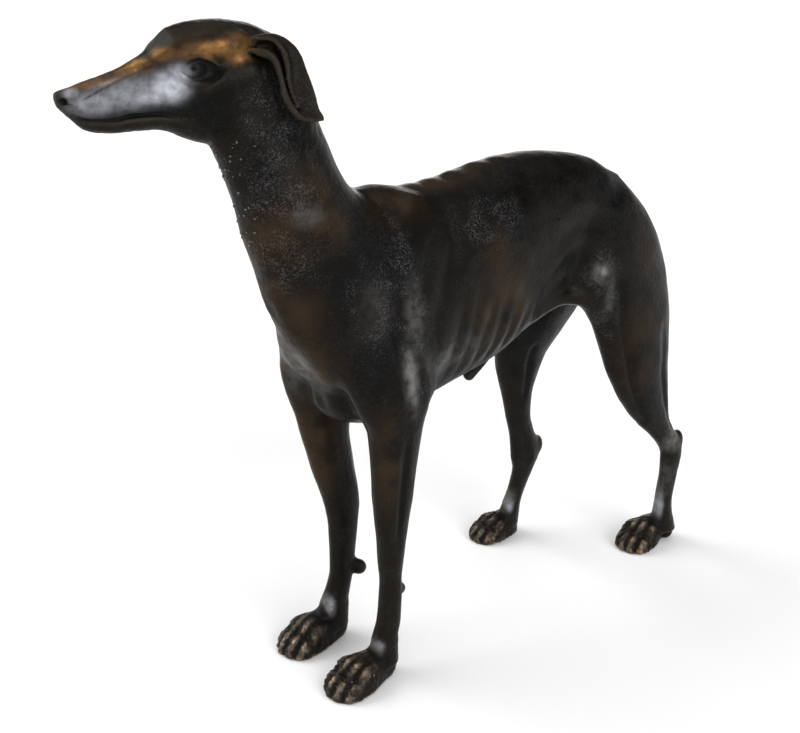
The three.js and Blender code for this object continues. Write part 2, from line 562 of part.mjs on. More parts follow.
// Thins a closed skin by merging the edges that change its form least.
function thin(points, faces, wanted) {
  const quadrics = points.map(() => new Float64Array(10));
  const around = points.map(() => new Set());
  faces.forEach((face, index) => {
    const [a, b, c] = face.map((v) => points[v]);
    const n = normalOf(a, b, c);
    const size = Math.hypot(...n) || 1e-12;
    const unit = n.map((v) => v / size);
    for (const v of face) {
      addPlane(quadrics[v], unit, -dot(unit, a), (worth(a) * size) / 2);
      around[v].add(index);
    }
  });
  const stamp = new Int32Array(points.length);
  const heap = [];
  const swap = (i, j) => ([heap[i], heap[j]] = [heap[j], heap[i]]);
  const add = (entry) => {
    let i = heap.push(entry) - 1;
    while (i > 0 && heap[(i - 1) >> 1].cost > heap[i].cost) {
      swap(i, (i - 1) >> 1);
      i = (i - 1) >> 1;
    }
  };
  const take = () => {
    const top = heap[0];
    const lastEntry = heap.pop();
    if (!heap.length) return top;
    heap[0] = lastEntry;
    for (let i = 0; ; ) {
      let least = i;
      for (const child of [2 * i + 1, 2 * i + 2]) {
        if (child < heap.length && heap[child].cost < heap[least].cost) least = child;
      }
      if (least === i) return top;
      swap(i, least);
      i = least;
    }
  };
  const offer = (a, b) => {
    const q = quadrics[a].map((v, i) => v + quadrics[b][i]);
    const middle = points[a].map((v, i) => (v + points[b][i]) / 2);
    const target = bestPoint(q, middle, 0.02);
    const length = Math.hypot(...minus(points[a], points[b]));
    const cost = Math.max(0, quadricAt(q, target)) + 1e-5 * length * length;
    add({ cost, a, b, target, marks: [stamp[a], stamp[b]] });
  };
  const neighbours = (v) => {
    const found = new Set();
    for (const index of around[v]) for (const w of faces[index]) if (w !== v) found.add(w);
    return found;
  };
  // true where a face keeps its side and a fair shape when its corner moves to the target
  const holds = (index, moved, target) => {
    const before = faces[index].map((v) => points[v]);
    const after = faces[index].map((v, i) => (v === moved ? target : before[i]));
    const [n, m] = [normalOf(...before), normalOf(...after)];
    const [size, next] = [Math.hypot(...n), Math.hypot(...m)];
    const sides = after.map((p, i) => minus(p, after[(i + 1) % 3])).reduce((s, e) => s + dot(e, e), 0);
    return dot(n, m) > 0.3 * size * next && next > 0.12 * sides;
  };
  for (let a = 0; a < points.length; a++) for (const b of neighbours(a)) if (a < b) offer(a, b);
  let left = faces.length;
  while (left > wanted && heap.length) {
    const { a, b, target, marks } = take();
    if (stamp[a] !== marks[0] || stamp[b] !== marks[1]) continue;
    const [ringA, ringB] = [neighbours(a), neighbours(b)];
    if ([...ringA].filter((v) => ringB.has(v)).length !== 2) continue;
    const shared = [...around[a]].filter((index) => around[b].has(index));
    const keepsA = [...around[a]].every((i) => around[b].has(i) || holds(i, a, target));
    const keepsB = [...around[b]].every((i) => around[a].has(i) || holds(i, b, target));
    if (shared.length !== 2 || !keepsA || !keepsB) continue;
    for (const index of shared) {
      for (const v of faces[index]) around[v].delete(index);
      faces[index] = null;
    }
    for (const index of around[b]) {
      faces[index] = faces[index].map((v) => (v === b ? a : v));
      around[a].add(index);
    }
    around[b].clear();
    points[a] = target;
    quadrics[a] = quadrics[a].map((v, i) => v + quadrics[b][i]);
    stamp[b] = -1;
    left -= 2;
    const ring = neighbours(a);
    stamp[a]++;
    for (const v of ring) offer(a, v);
  }
  return faces.filter(Boolean).map((face) => face.map((v) => points[v]));
}

trunk();
neck();
shoulder(1);
shoulder(-1);
forelegs();
hindlegs();
tail();
head();
muscles(1);
muscles(-1);
fileSoles();
while (fillPinches());

const raw = skin();
const patches = thin(raw.points, raw.faces, FACETS);
for (const corner of patches.flat()) {
  if (corner[2] < ground + FILED) corner[2] = ground;
}
const geometry = new THREE.BufferGeometry();
geometry.setAttribute("position", new THREE.Float32BufferAttribute(patches.flat(2), 3));

// The origin is on the ground, below the middle of the figure.
geometry.computeBoundingBox();
const middle = geometry.boundingBox.getCenter(new THREE.Vector3());
geometry.translate(-middle.x, -middle.y, -geometry.boundingBox.min.z);
geometry.computeVertexNormals();

const bronze = new THREE.MeshStandardMaterial({ color: 0x4a4238, metalness: 0.85, roughness: 0.45 });
const figure = new THREE.Mesh(geometry, bronze);
figure.name = "greyhound";
const model = new THREE.Group();
model.add(figure);
export default model;
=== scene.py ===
import math
import bpy
import numpy as np
from mathutils import Matrix, Vector


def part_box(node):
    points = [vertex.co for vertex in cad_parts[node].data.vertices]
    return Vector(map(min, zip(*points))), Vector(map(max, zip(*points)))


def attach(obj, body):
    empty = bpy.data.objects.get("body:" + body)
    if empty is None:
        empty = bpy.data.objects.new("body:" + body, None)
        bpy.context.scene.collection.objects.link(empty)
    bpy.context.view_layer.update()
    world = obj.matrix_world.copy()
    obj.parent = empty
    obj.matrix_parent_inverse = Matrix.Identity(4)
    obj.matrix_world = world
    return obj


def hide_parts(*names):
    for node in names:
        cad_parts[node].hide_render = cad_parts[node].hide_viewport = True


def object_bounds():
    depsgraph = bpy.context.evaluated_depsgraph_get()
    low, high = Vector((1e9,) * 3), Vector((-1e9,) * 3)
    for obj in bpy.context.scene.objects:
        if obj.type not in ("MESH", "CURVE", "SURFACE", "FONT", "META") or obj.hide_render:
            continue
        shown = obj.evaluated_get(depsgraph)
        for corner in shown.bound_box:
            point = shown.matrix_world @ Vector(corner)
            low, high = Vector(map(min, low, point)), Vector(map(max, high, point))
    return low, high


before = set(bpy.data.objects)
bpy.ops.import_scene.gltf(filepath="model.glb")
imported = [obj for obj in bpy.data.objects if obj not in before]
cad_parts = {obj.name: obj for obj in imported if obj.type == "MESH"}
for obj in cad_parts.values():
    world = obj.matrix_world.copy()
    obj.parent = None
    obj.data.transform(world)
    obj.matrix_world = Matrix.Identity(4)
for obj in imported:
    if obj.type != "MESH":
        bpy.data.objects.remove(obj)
cad_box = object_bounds()

# The camera stands about two and a half withers heights away, ahead of the dog's left shoulder,
# and looks down on it a little, as a person does who photographs a figure on a low table.
CROWN = 1.3095  # crown of the skull, in shares
GROUND = 0.018  # level of the filed soles, in shares
MIDDLE = (-0.0389, -0.1295)  # middle of the figure seen from above, in shares
lowest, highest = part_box("greyhound")
share = (highest.z - lowest.z) / (CROWN - GROUND)  # one share, about the height at the withers
figure_middle = (lowest + highest) / 2

AZIMUTH = math.radians(48.106)
ELEVATION = math.radians(20.085)
ROLL = math.radians(0.567)
DISTANCE = 2.542 * share
PIXELS_WIDE = 800
FOCAL_PIXELS = 1282.34
SENSOR = 36.0
AIM = (0.0, -0.22, 0.625)  # the point looked at, in shares


def to_room(point):
    """A point in shares, in metres where the figure stands."""
    x, y, z = point
    return Vector((
        figure_middle.x + (x - MIDDLE[0]) * share,
        figure_middle.y + (y - MIDDLE[1]) * share,
        lowest.z + (z - GROUND) * share,
    ))


back = Vector((
    math.sin(AZIMUTH) * math.cos(ELEVATION),
    -math.cos(AZIMUTH) * math.cos(ELEVATION),
    math.sin(ELEVATION),
))
level = Vector((0, 0, 1)).cross(back).normalized()
upward = back.cross(level)
right = math.cos(ROLL) * level + math.sin(ROLL) * upward
top = math.cos(ROLL) * upward - math.sin(ROLL) * level
camera = bpy.data.objects.new("camera", bpy.data.cameras.new("camera"))
bpy.context.scene.collection.objects.link(camera)
camera.matrix_world = Matrix.Translation(to_room(AIM) + DISTANCE * back) @ Matrix(
    (right, top, back)).transposed().to_4x4()
camera.data.sensor_width = SENSOR
camera.data.lens = FOCAL_PIXELS / PIXELS_WIDE * SENSOR
camera.data.clip_start = 0.05
camera.data.clip_end = 100
bpy.context.scene.camera = camera

# The wax. The figure was modelled in wax and then cast in one piece, so this section lays up
# the wax: a block of cells that each hold their distance to its skin, below zero in the wax.
# Places are in shares: x to the dog's left, y from its head to its tail, z up.
CELL = 0.0013 / share  # side of one cell
NEAR = np.array((-0.24, -0.87, -0.01))
FAR = np.array((0.17, 0.61, 1.33))
count = np.ceil((FAR - NEAR) / CELL).astype(int) + 1
edges = [(NEAR[a] + CELL * np.arange(count[a])).astype(np.float32) for a in range(3)]
wax = np.full(count, 0.5, np.float32)


class Aim:
    """A set of directions at an origin: along, side and up."""

    def __init__(self, origin, yaw=0.0, pitch=0.0):
        """Looks ahead, turned to the dog's left by yaw and lifted by pitch, in degrees."""
        turn, lift = math.radians(yaw), math.radians(pitch)
        self.origin = np.array(origin, float)
        self.along = np.array((
            math.sin(turn) * math.cos(lift), -math.cos(turn) * math.cos(lift), math.sin(lift)))
        self.side = np.cross((0, 0, 1), self.along)
        self.side /= np.linalg.norm(self.side)
        self.up = np.cross(self.along, self.side)

    def local(self, points):
        x, y, z = (p - o for p, o in zip(points, self.origin))
        return [x * d[0] + y * d[1] + z * d[2] for d in (self.along, self.side, self.up)]

    def world(self, p):
        return self.origin + p[0] * self.along + p[1] * self.side + p[2] * self.up


def plain(directions):
    """Directions that are the body's own axes in another order."""
    aim = Aim((0, 0, 0))
    aim.along, aim.side, aim.up = (np.eye(3)[d] for d in directions)
    return aim


LENGTHWISE = plain((1, 0, 2))  # along y, side x, up z
UPRIGHT = plain((2, 0, 1))  # along z, side x, up y


def cells(corners, margin):
    """The part of the block round the corners, and the places of its cells."""
    corners = np.array(corners)
    first = np.floor((corners.min(0) - margin - NEAR) / CELL).astype(int) - 1
    last = np.ceil((corners.max(0) + margin - NEAR) / CELL).astype(int) + 2
    where = tuple(slice(max(f, 0), max(l, 0)) for f, l in zip(first, last))
    return where, np.meshgrid(*(e[w] for e, w in zip(edges, where)), indexing="ij", sparse=True)


def softer(a, b, blend):
    """The lower of two distances, with a fillet where they are nearly the same."""
    h = np.clip(0.5 + 0.5 * (b - a) / blend, 0, 1)
    return b + (a - b) * h - blend * h * (1 - h)


def lay(where, distance, blend, dig=False):
    """Adds wax of that distance to the block, or digs it out."""
    if dig:
        wax[where] = -softer(-wax[where], distance.astype(np.float32), blend)
    else:
        wax[where] = softer(wax[where], distance.astype(np.float32), blend)


def through(rows, station):
    """Values at a station on a smooth run through rows whose first entry is their station."""
    rows = np.array(rows, float)
    x, v = rows[:, 0], rows[:, 1:]
    rise = np.diff(v, axis=0) / np.diff(x)[:, None]
    slope = np.zeros_like(v)
    slope[0], slope[-1] = rise[0], rise[-1]
    same = rise[1:] * rise[:-1] > 0
    slope[1:-1] = np.where(same, 2 * rise[1:] * rise[:-1] / np.where(same, rise[1:] + rise[:-1], 1), 0)
    at = np.clip(station, x[0], x[-1])
    i = np.clip(np.searchsorted(x, at, side="right") - 1, 0, len(x) - 2)
    h = x[i + 1] - x[i]
    t = (at - x[i]) / h
    start, end = 2 * t ** 3 - 3 * t ** 2 + 1, 3 * t ** 2 - 2 * t ** 3
    leave, arrive = (t ** 3 - 2 * t ** 2 + t) * h, (t ** 3 - t ** 2) * h
    return [
        start * v[i, c] + end * v[i + 1, c] + leave * slope[i, c] + arrive * slope[i + 1, c]
        for c in range(v.shape[1])
    ]


def loft(rows, aim=LENGTHWISE, blend=0.02, middle=0.5, power=2.0, dig=False):
    """Oval sections: rows of station, upper edge, lower edge, half width, offset to the side."""
    rows = sorted(tuple(r) + (0.0,) * (5 - len(r)) for r in rows)
    rims = [
        aim.world((s, off + turn * half, u))
        for s, upper, lower, half, off in rows for u in (upper, lower) for turn in (-1, 1)
    ]
    where, points = cells(rims, blend)
    s, side, u = aim.local(points)
    upper, lower, half, off = through(rows, s)
    heart = lower + middle * (upper - lower)
    tall = np.where(u > heart, upper - heart, heart - lower) + 1e-4
    a, b = np.abs(side - off) / (half + 1e-4), np.abs(u - heart) / tall
    ring = (a ** power + b ** power) ** (1 / power)
    slant = np.sqrt((a / (half + 1e-4)) ** 2 + (b / tall) ** 2) + 1e-9
    d = np.clip(ring * (ring - 1) / slant, -0.2, 0.5)
    past = np.maximum(rows[0][0] - s, s - rows[-1][0])
    d = np.where(past > 0, np.sqrt(np.maximum(d, 0) ** 2 + past ** 2), np.maximum(d, past))
    lay(where, d, blend, dig)


def egg(centre, half, aim=LENGTHWISE, blend=0.02, dig=False):
    """An egg with three half sizes."""
    where, points = cells([aim.world(centre)], max(half) + blend)
    p = [(v - c) / h for v, c, h in zip(aim.local(points), centre, half)]
    ring = np.sqrt(p[0] ** 2 + p[1] ** 2 + p[2] ** 2)
    slant = np.sqrt(sum((v / h) ** 2 for v, h in zip(p, half))) + 1e-9
    lay(where, ring * (ring - 1) / slant, blend, dig)


def curve(rows, steps):
    """Points on a smooth curve that passes through the rows."""
    rows = np.array(rows, float)
    if len(rows) < 3:
        return rows
    ends = np.vstack([2 * rows[0] - rows[1], rows, 2 * rows[-1] - rows[-2]])
    made = []
    for a, b, c, d in zip(ends, ends[1:], ends[2:], ends[3:]):
        for t in np.arange(steps) / steps:
            bend = (2 * a - 5 * b + 4 * c - d) * t ** 2 + (3 * b - a - 3 * c + d) * t ** 3
            made.append(0.5 * (2 * b + (c - a) * t + bend))
    return np.array(made + [rows[-1]])


def cord(rows, aim=None, blend=0.02, steps=6, dig=False):
    """A cord of muscle, bone or ear: rows of three coordinates, radius and flatness.

    A flatness above one makes it thinner across the aim's side, or across x with no aim.
    """
    aim = aim or plain((0, 1, 2))
    thin = 0 if np.array_equal(aim.along, (1, 0, 0)) else 1
    chain = curve([tuple(r) + (1.0,) * (5 - len(r)) for r in rows], steps)
    reach = blend + chain[:, 3].max()
    everywhere, _ = cells([aim.world(p[:3]) for p in chain], reach)
    best = np.full(wax[everywhere].shape, 0.5, np.float32)
    for a, b in zip(chain, chain[1:]):
        where, points = cells([aim.world(a[:3]), aim.world(b[:3])], reach)
        local = aim.local(points)
        ab = b[:3] - a[:3]
        t = sum((local[i] - a[i]) * ab[i] for i in range(3)) / (ab @ ab + 1e-12)
        t = np.clip(t, 0, 1)
        gap = [local[i] - a[i] - t * ab[i] for i in range(3)]
        flat = a[4] + (b[4] - a[4]) * t
        away = np.sqrt(gap[0] ** 2 + gap[1] ** 2 + gap[2] ** 2 + (flat ** 2 - 1) * gap[thin] ** 2)
        d = 2 * (away - a[3] - (b[3] - a[3]) * t) / (1 + flat)
        inner = tuple(
            slice(w.start - e.start, w.stop - e.start) for w, e in zip(where, everywhere))
        best[inner] = np.minimum(best[inner], d)
    lay(everywhere, best, blend, dig)


def tooling(rows, aim=LENGTHWISE, side=1, clear=0.02, deep=0.16, steps=6):
    """A line worked into one side with a tool: rows of along, up, width and height.

    A height below zero is a groove. Seen along the side it keeps its width, and it starts
    at the distance clear from the aim's middle plane.
    """
    chain = curve(rows, steps)
    reach = 2.5 * chain[:, 2].max()
    ends = [aim.world((p[0], side * s, p[1])) for p in chain for s in (clear, deep)]
    everywhere, _ = cells(ends, reach)
    near = np.full(wax[everywhere].shape, 9, np.float32)
    height = np.zeros_like(near)
    for a, b in zip(chain, chain[1:]):
        corners = [aim.world((p[0], side * s, p[1])) for p in (a, b) for s in (clear, deep)]
        where, points = cells(corners, reach)
        s, across, u = aim.local(points)
        ab = b[:2] - a[:2]
        t = np.clip(((s - a[0]) * ab[0] + (u - a[1]) * ab[1]) / (ab @ ab + 1e-12), 0, 1)
        gap = (s - a[0] - t * ab[0]) ** 2 + (u - a[1] - t * ab[1]) ** 2
        gap = gap / (a[2] + (b[2] - a[2]) * t) ** 2
        face = np.clip((side * across - clear) / 0.01, 0, 1)
        made = (a[3] + (b[3] - a[3]) * t) * face
        inner = tuple(
            slice(w.start - e.start, w.stop - e.start) for w, e in zip(where, everywhere))
        closer = gap < near[inner]
        height[inner] = np.where(closer, made, height[inner])
        near[inner] = np.where(closer, gap, near[inner])
    wax[everywhere] -= height * np.exp(-near)


BOTH = (1, -1)  # left and right

# The trunk, from the point of the breast to the rump, is deep in the chest and drawn up at the
# loin. The knobs of the spine stand on its back, and the sheath lies below it.
loft([
    (-0.52, 0.84, 0.79, 0.012), (-0.495, 0.88, 0.745, 0.034), (-0.45, 0.925, 0.67, 0.064),
    (-0.38, 0.978, 0.574, 0.087), (-0.3, 1.0, 0.542, 0.102), (-0.2, 0.986, 0.55, 0.112),
    (-0.1, 0.994, 0.569, 0.117), (0, 1.009, 0.59, 0.114), (0.1, 1.014, 0.63, 0.104),
    (0.2, 1.005, 0.675, 0.092), (0.3, 0.983, 0.707, 0.085), (0.38, 0.937, 0.72, 0.078),
    (0.45, 0.857, 0.735, 0.06), (0.5, 0.79, 0.745, 0.03),
], middle=0.55)
egg((-0.34, 0, 0.602), (0.08, 0.065, 0.052), blend=0.045)
cord([(0, -0.026, 0.561, 0.013), (0, 0.02, 0.592, 0.012), (0, 0.075, 0.63, 0.006)], blend=0.01)
SPINE = [(-0.2, 0.985), (-0.15, 0.988), (-0.09, 0.997), (-0.025, 1.006), (0.03, 1.01)]
for y, z in SPINE:
    egg((y, 0, z - 0.0105), (0.022, 0.016, 0.012), blend=0.014)

# The neck, long and arched, is deep where it enters the chest.
NECK = [
    (1.28, -0.6, -0.5, 0.035, -0.02), (1.2, -0.632, -0.448, 0.056, -0.018),
    (1.13, -0.636, -0.42, 0.066, -0.01), (1.05, -0.608, -0.388, 0.076, -0.003),
    (1, -0.592, -0.357, 0.084, 0), (0.944, -0.577, -0.305, 0.091, 0),
    (0.87, -0.55, -0.26, 0.092, 0), (0.8, -0.515, -0.24, 0.082, 0), (0.74, -0.48, -0.3, 0.05, 0),
]
loft([(z, rear, front, half, x) for z, front, rear, half, x in NECK], UPRIGHT, blend=0.05)

# The shoulders: breast muscle, blade and the muscle over the elbow, lean under thin skin.
for s in BOTH:
    egg((-0.424, s * 0.044, 0.735), (0.05, 0.045, 0.085), blend=0.04)
    cord([
        (s * 0.04, -0.235, 0.945, 0.02, 1.5), (s * 0.06, -0.29, 0.885, 0.038, 1.8),
        (s * 0.08, -0.375, 0.76, 0.045, 1.6),
    ], blend=0.035)
    cord([
        (s * 0.066, -0.235, 0.85, 0.05, 1.8), (s * 0.086, -0.24, 0.74, 0.052, 1.8),
        (s * 0.096, -0.245, 0.63, 0.034, 1.4),
    ], blend=0.035)
    egg((-0.392, s * 0.084, 0.815), (0.03, 0.018, 0.045), blend=0.02)


def leg(rows, blend):
    """A leg of oval sections: rows of height, front, rear, offset to the side, half width."""
    loft([(z, rear, front, half, x) for z, front, rear, x, half in rows], UPRIGHT, blend)


def paw(x, y, yaw, size):
    """A compact paw filed flat below, with four blunt toes and a heel pad."""
    aim = Aim((x, y, GROUND), yaw)

    def sized(rows):
        return [tuple(v * size for v in row) for row in rows]

    loft(sized([
        (-0.052, 0.04, -0.004, 0.018), (-0.035, 0.056, -0.004, 0.028), (-0.01, 0.058, -0.004, 0.036),
        (0.015, 0.05, -0.004, 0.041), (0.04, 0.036, -0.004, 0.04), (0.056, 0.023, -0.004, 0.032),
        (0.067, 0.01, -0.004, 0.02),
    ]), aim, blend=0.012, middle=0.2, power=2.2)
    for side, reach, drop in TOES:
        for s in BOTH:
            cord([
                tuple(size * v for v in row) for row in [
                    (-0.08 * reach, s * 0.8 * side, 0.046 - drop, 0.007),
                    (0.28 * reach, s * 0.95 * side, 0.0435 - drop, 0.0105),
                    (0.55 * reach, s * side, 0.031 - drop, 0.0098),
                    (0.8 * reach, s * side, 0.021 - drop / 2, 0.0112),
                    (reach, s * 0.95 * side, 0.0085, 0.0088),
                ]
            ], aim, blend=0.008, steps=5)


TOES = [(0.0275, 0.055, 0.005), (0.0095, 0.0655, 0.0)]  # side, reach, drop

# The forelegs come straight down, the right one a little ahead, with a stopper pad behind
# each wrist.
leg([
    (0.78, -0.43, -0.3, 0.07, 0.02), (0.72, -0.445, -0.25, 0.078, 0.038),
    (0.66, -0.43, -0.235, 0.088, 0.046), (0.6, -0.405, -0.242, 0.096, 0.047),
    (0.54, -0.378, -0.262, 0.1, 0.042), (0.47, -0.374, -0.272, 0.1, 0.0345),
    (0.4, -0.37, -0.281, 0.1, 0.0305), (0.31, -0.358, -0.297, 0.099, 0.0255),
    (0.27, -0.354, -0.301, 0.098, 0.025), (0.22, -0.35, -0.304, 0.097, 0.0215),
    (0.14, -0.358, -0.304, 0.097, 0.0215), (0.09, -0.372, -0.314, 0.096, 0.023),
    (0.05, -0.38, -0.316, 0.099, 0.026),
], 0.025)
paw(0.096, -0.402, 4, 1.13)
leg([
    (0.78, -0.44, -0.3, -0.07, 0.02), (0.72, -0.448, -0.25, -0.078, 0.038),
    (0.66, -0.446, -0.24, -0.086, 0.045), (0.6, -0.432, -0.255, -0.09, 0.045),
    (0.54, -0.41, -0.275, -0.089, 0.04), (0.49, -0.398, -0.288, -0.085, 0.036),
    (0.4, -0.372, -0.276, -0.082, 0.0315), (0.32, -0.346, -0.266, -0.079, 0.0275),
    (0.27, -0.338, -0.272, -0.078, 0.0255), (0.18, -0.336, -0.281, -0.078, 0.022),
    (0.1, -0.363, -0.298, -0.079, 0.025), (0.05, -0.388, -0.303, -0.081, 0.028),
], 0.025)
paw(-0.087, -0.379, 3, 1.15)
cord([(0.096, -0.332, 0.09, 0.019), (0.097, -0.342, 0.04, 0.025)], blend=0.012)
cord([(-0.079, -0.318, 0.09, 0.02), (-0.082, -0.323, 0.04, 0.025)], blend=0.012)
cord([(0.078, -0.3, 0.19, 0.013), (0.068, -0.278, 0.178, 0.013)], blend=0.008)
cord([(-0.072, -0.298, 0.19, 0.012), (-0.06, -0.278, 0.174, 0.0165)], blend=0.008)

# The hind legs: the left one is stretched back, the right one stands under the body.
leg([
    (0.93, 0.32, 0.38, 0.02, 0.01), (0.88, 0.26, 0.43, 0.045, 0.035),
    (0.82, 0.22, 0.474, 0.057, 0.05), (0.76, 0.21, 0.5, 0.065, 0.055),
    (0.7, 0.228, 0.514, 0.073, 0.055), (0.62, 0.277, 0.519, 0.084, 0.053),
    (0.55, 0.305, 0.517, 0.091, 0.049), (0.5, 0.323, 0.518, 0.096, 0.043),
    (0.45, 0.351, 0.522, 0.1, 0.036), (0.4, 0.388, 0.527, 0.103, 0.03),
    (0.36, 0.428, 0.534, 0.105, 0.0255), (0.32, 0.474, 0.552, 0.107, 0.0225),
    (0.285, 0.51, 0.586, 0.108, 0.0215), (0.25, 0.53, 0.592, 0.108, 0.0215),
    (0.2, 0.532, 0.584, 0.107, 0.0195), (0.134, 0.53, 0.577, 0.103, 0.0195),
    (0.09, 0.527, 0.584, 0.101, 0.022), (0.045, 0.525, 0.6, 0.1, 0.029),
], 0.035)
egg((0.579, 0.108, 0.285), (0.013, 0.014, 0.02), blend=0.012)
paw(0.082, 0.511, 6, 1.09)
cord([(0.1, 0.575, 0.07, 0.015), (0.1, 0.575, 0.036, 0.02)], blend=0.01)
leg([
    (0.93, 0.3, 0.37, -0.02, 0.01), (0.88, 0.23, 0.42, -0.045, 0.035),
    (0.82, 0.19, 0.45, -0.057, 0.05), (0.76, 0.165, 0.452, -0.067, 0.055),
    (0.7, 0.155, 0.438, -0.078, 0.055), (0.62, 0.16, 0.412, -0.092, 0.052),
    (0.56, 0.17, 0.372, -0.105, 0.047), (0.5, 0.184, 0.328, -0.116, 0.04),
    (0.45, 0.2, 0.305, -0.118, 0.034), (0.41, 0.214, 0.297, -0.12, 0.029),
    (0.36, 0.228, 0.298, -0.121, 0.0245), (0.31, 0.241, 0.314, -0.122, 0.0215),
    (0.27, 0.251, 0.342, -0.124, 0.0215), (0.24, 0.258, 0.348, -0.128, 0.021),
    (0.2, 0.272, 0.334, -0.135, 0.0195), (0.15, 0.275, 0.323, -0.147, 0.0185),
    (0.1, 0.266, 0.316, -0.157, 0.021), (0.05, 0.256, 0.317, -0.166, 0.024),
], 0.035)
egg((0.338, -0.124, 0.262), (0.013, 0.013, 0.02), blend=0.012)
paw(-0.178, 0.266, -6, 1.02)

# The tail hangs close behind the thighs, its end against the inside of the left hind leg.
cord([
    (0, 0.43, 0.865, 0.03), (0, 0.49, 0.8, 0.025), (0.005, 0.52, 0.7, 0.02),
    (0.02, 0.512, 0.58, 0.017), (0.055, 0.508, 0.47, 0.0145), (0.083, 0.528, 0.375, 0.011),
], blend=0.02)

# The head: a long narrow skull and muzzle with the lower jaw set under its lip, turned a
# little to the dog's right. Skull, cheeks and brow were laid up first, the nose pad last.
HEAD = Aim((-0.02, -0.53, 1.235), -17, -5)
loft([
    (-0.05, 0.012, -0.06, 0.03), (-0.02, 0.049, -0.08, 0.048), (0.02, 0.071, -0.085, 0.056),
    (0.06, 0.08, -0.085, 0.059), (0.1, 0.082, -0.082, 0.058), (0.145, 0.076, -0.068, 0.051),
    (0.168, 0.059, -0.059, 0.0445), (0.184, 0.044, -0.056, 0.04), (0.213, 0.03, -0.054, 0.0345),
    (0.25, 0.018, -0.056, 0.03), (0.29, 0.009, -0.053, 0.0255), (0.312, 0.004, -0.045, 0.0225),
    (0.328, 0, -0.038, 0.019), (0.341, -0.004, -0.026, 0.012),
], HEAD, blend=0.015, middle=0.45, power=2.3)
loft([
    (-0.03, -0.02, -0.085, 0.03), (0.02, -0.03, -0.105, 0.045), (0.06, -0.035, -0.114, 0.048),
    (0.1, -0.04, -0.12, 0.045), (0.145, -0.042, -0.104, 0.0375), (0.168, -0.044, -0.091, 0.0345),
    (0.193, -0.044, -0.083, 0.031), (0.25, -0.043, -0.08, 0.0265), (0.29, -0.038, -0.073, 0.0225),
    (0.306, -0.034, -0.066, 0.019), (0.318, -0.03, -0.053, 0.014), (0.327, -0.026, -0.04, 0.009),
], HEAD, blend=0.01, middle=0.6)
egg((0.329, 0, -0.013), (0.014, 0.0165, 0.0125), HEAD, blend=0.006)
for s in BOTH:
    egg((0.05, s * 0.034, -0.04), (0.068, 0.032, 0.052), HEAD)
    cord([(0.105, s * 0.047, -0.012, 0.014), (0.03, s * 0.054, -0.004, 0.014)], HEAD, blend=0.02)
    cord([
        (0.165, s * 0.032, 0.034, 0.008), (0.135, s * 0.044, 0.046, 0.01),
        (0.095, s * 0.048, 0.048, 0.0105), (0.05, s * 0.048, 0.042, 0.01),
    ], HEAD, blend=0.03)

# The eyes: an almond socket dug under the brow, a ball set in it, and two thin lids laid
# round the ball.
for s in BOTH:
    egg((0.115, s * 0.069, 0.012), (0.039, 0.017, 0.0265), HEAD, blend=0.005, dig=True)
    egg((0.12, s * 0.0415, 0.011), (0.024, 0.0165, 0.0195), HEAD, blend=0.002)
    egg((0.127, s * 0.057, 0.014), (0.005, 0.0035, 0.005), HEAD, blend=0.002, dig=True)
    cord([
        (0.154, s * 0.0445, 0.014, 0.0026), (0.14, s * 0.0525, 0.029, 0.0042),
        (0.117, s * 0.0565, 0.034, 0.0052), (0.096, s * 0.0575, 0.025, 0.005),
        (0.076, s * 0.0575, 0.007, 0.003),
    ], HEAD, blend=0.003)
    cord([
        (0.154, s * 0.0445, 0.013, 0.0022), (0.14, s * 0.0525, -0.002, 0.0032),
        (0.119, s * 0.0565, -0.012, 0.004), (0.097, s * 0.0575, -0.0085, 0.0038),
        (0.076, s * 0.0575, 0.004, 0.0026),
    ], HEAD, blend=0.003)
    tooling([
        (0.128, -0.023, 0.004, 0.0), (0.112, -0.0215, 0.0035, 0.0008), (0.092, -0.0115, 0.0035, 0.001),
        (0.078, 0.001, 0.004, 0.0005),
    ], HEAD, s, clear=0.03, deep=0.09)

# The nose and mouth: nostrils drilled and drawn back in a comma, the lip line cut with a
# knife, and a long furrow below the ridge of the muzzle.
for s in BOTH:
    egg((0.333, s * 0.0155, -0.016), (0.008, 0.006, 0.006), HEAD, blend=0.003, dig=True)
    cord([
        (0.331, s * 0.0175, -0.019, 0.0038), (0.32, s * 0.0215, -0.022, 0.002),
    ], HEAD, blend=0.003, dig=True)
    tooling([
        (0.322, -0.038, 0.003, -0.002), (0.301, -0.049, 0.0032, -0.0035),
        (0.256, -0.055, 0.0035, -0.0045), (0.229, -0.053, 0.0035, -0.0045),
        (0.183, -0.056, 0.004, -0.004), (0.15, -0.064, 0.005, -0.003), (0.125, -0.066, 0.006, -0.001),
    ], HEAD, s, clear=0.006, deep=0.08)
    tooling([
        (0.312, -0.02, 0.004, -0.001), (0.29, -0.012, 0.005, -0.0028), (0.258, 0.0, 0.006, -0.003),
        (0.225, 0.011, 0.006, -0.0026), (0.19, 0.021, 0.006, -0.002), (0.165, 0.027, 0.006, -0.001),
    ], HEAD, s, clear=0.006, deep=0.08)
cord([(0.345, 0, -0.016, 0.0018), (0.338, 0, -0.038, 0.0018)], HEAD, blend=0.003, dig=True)

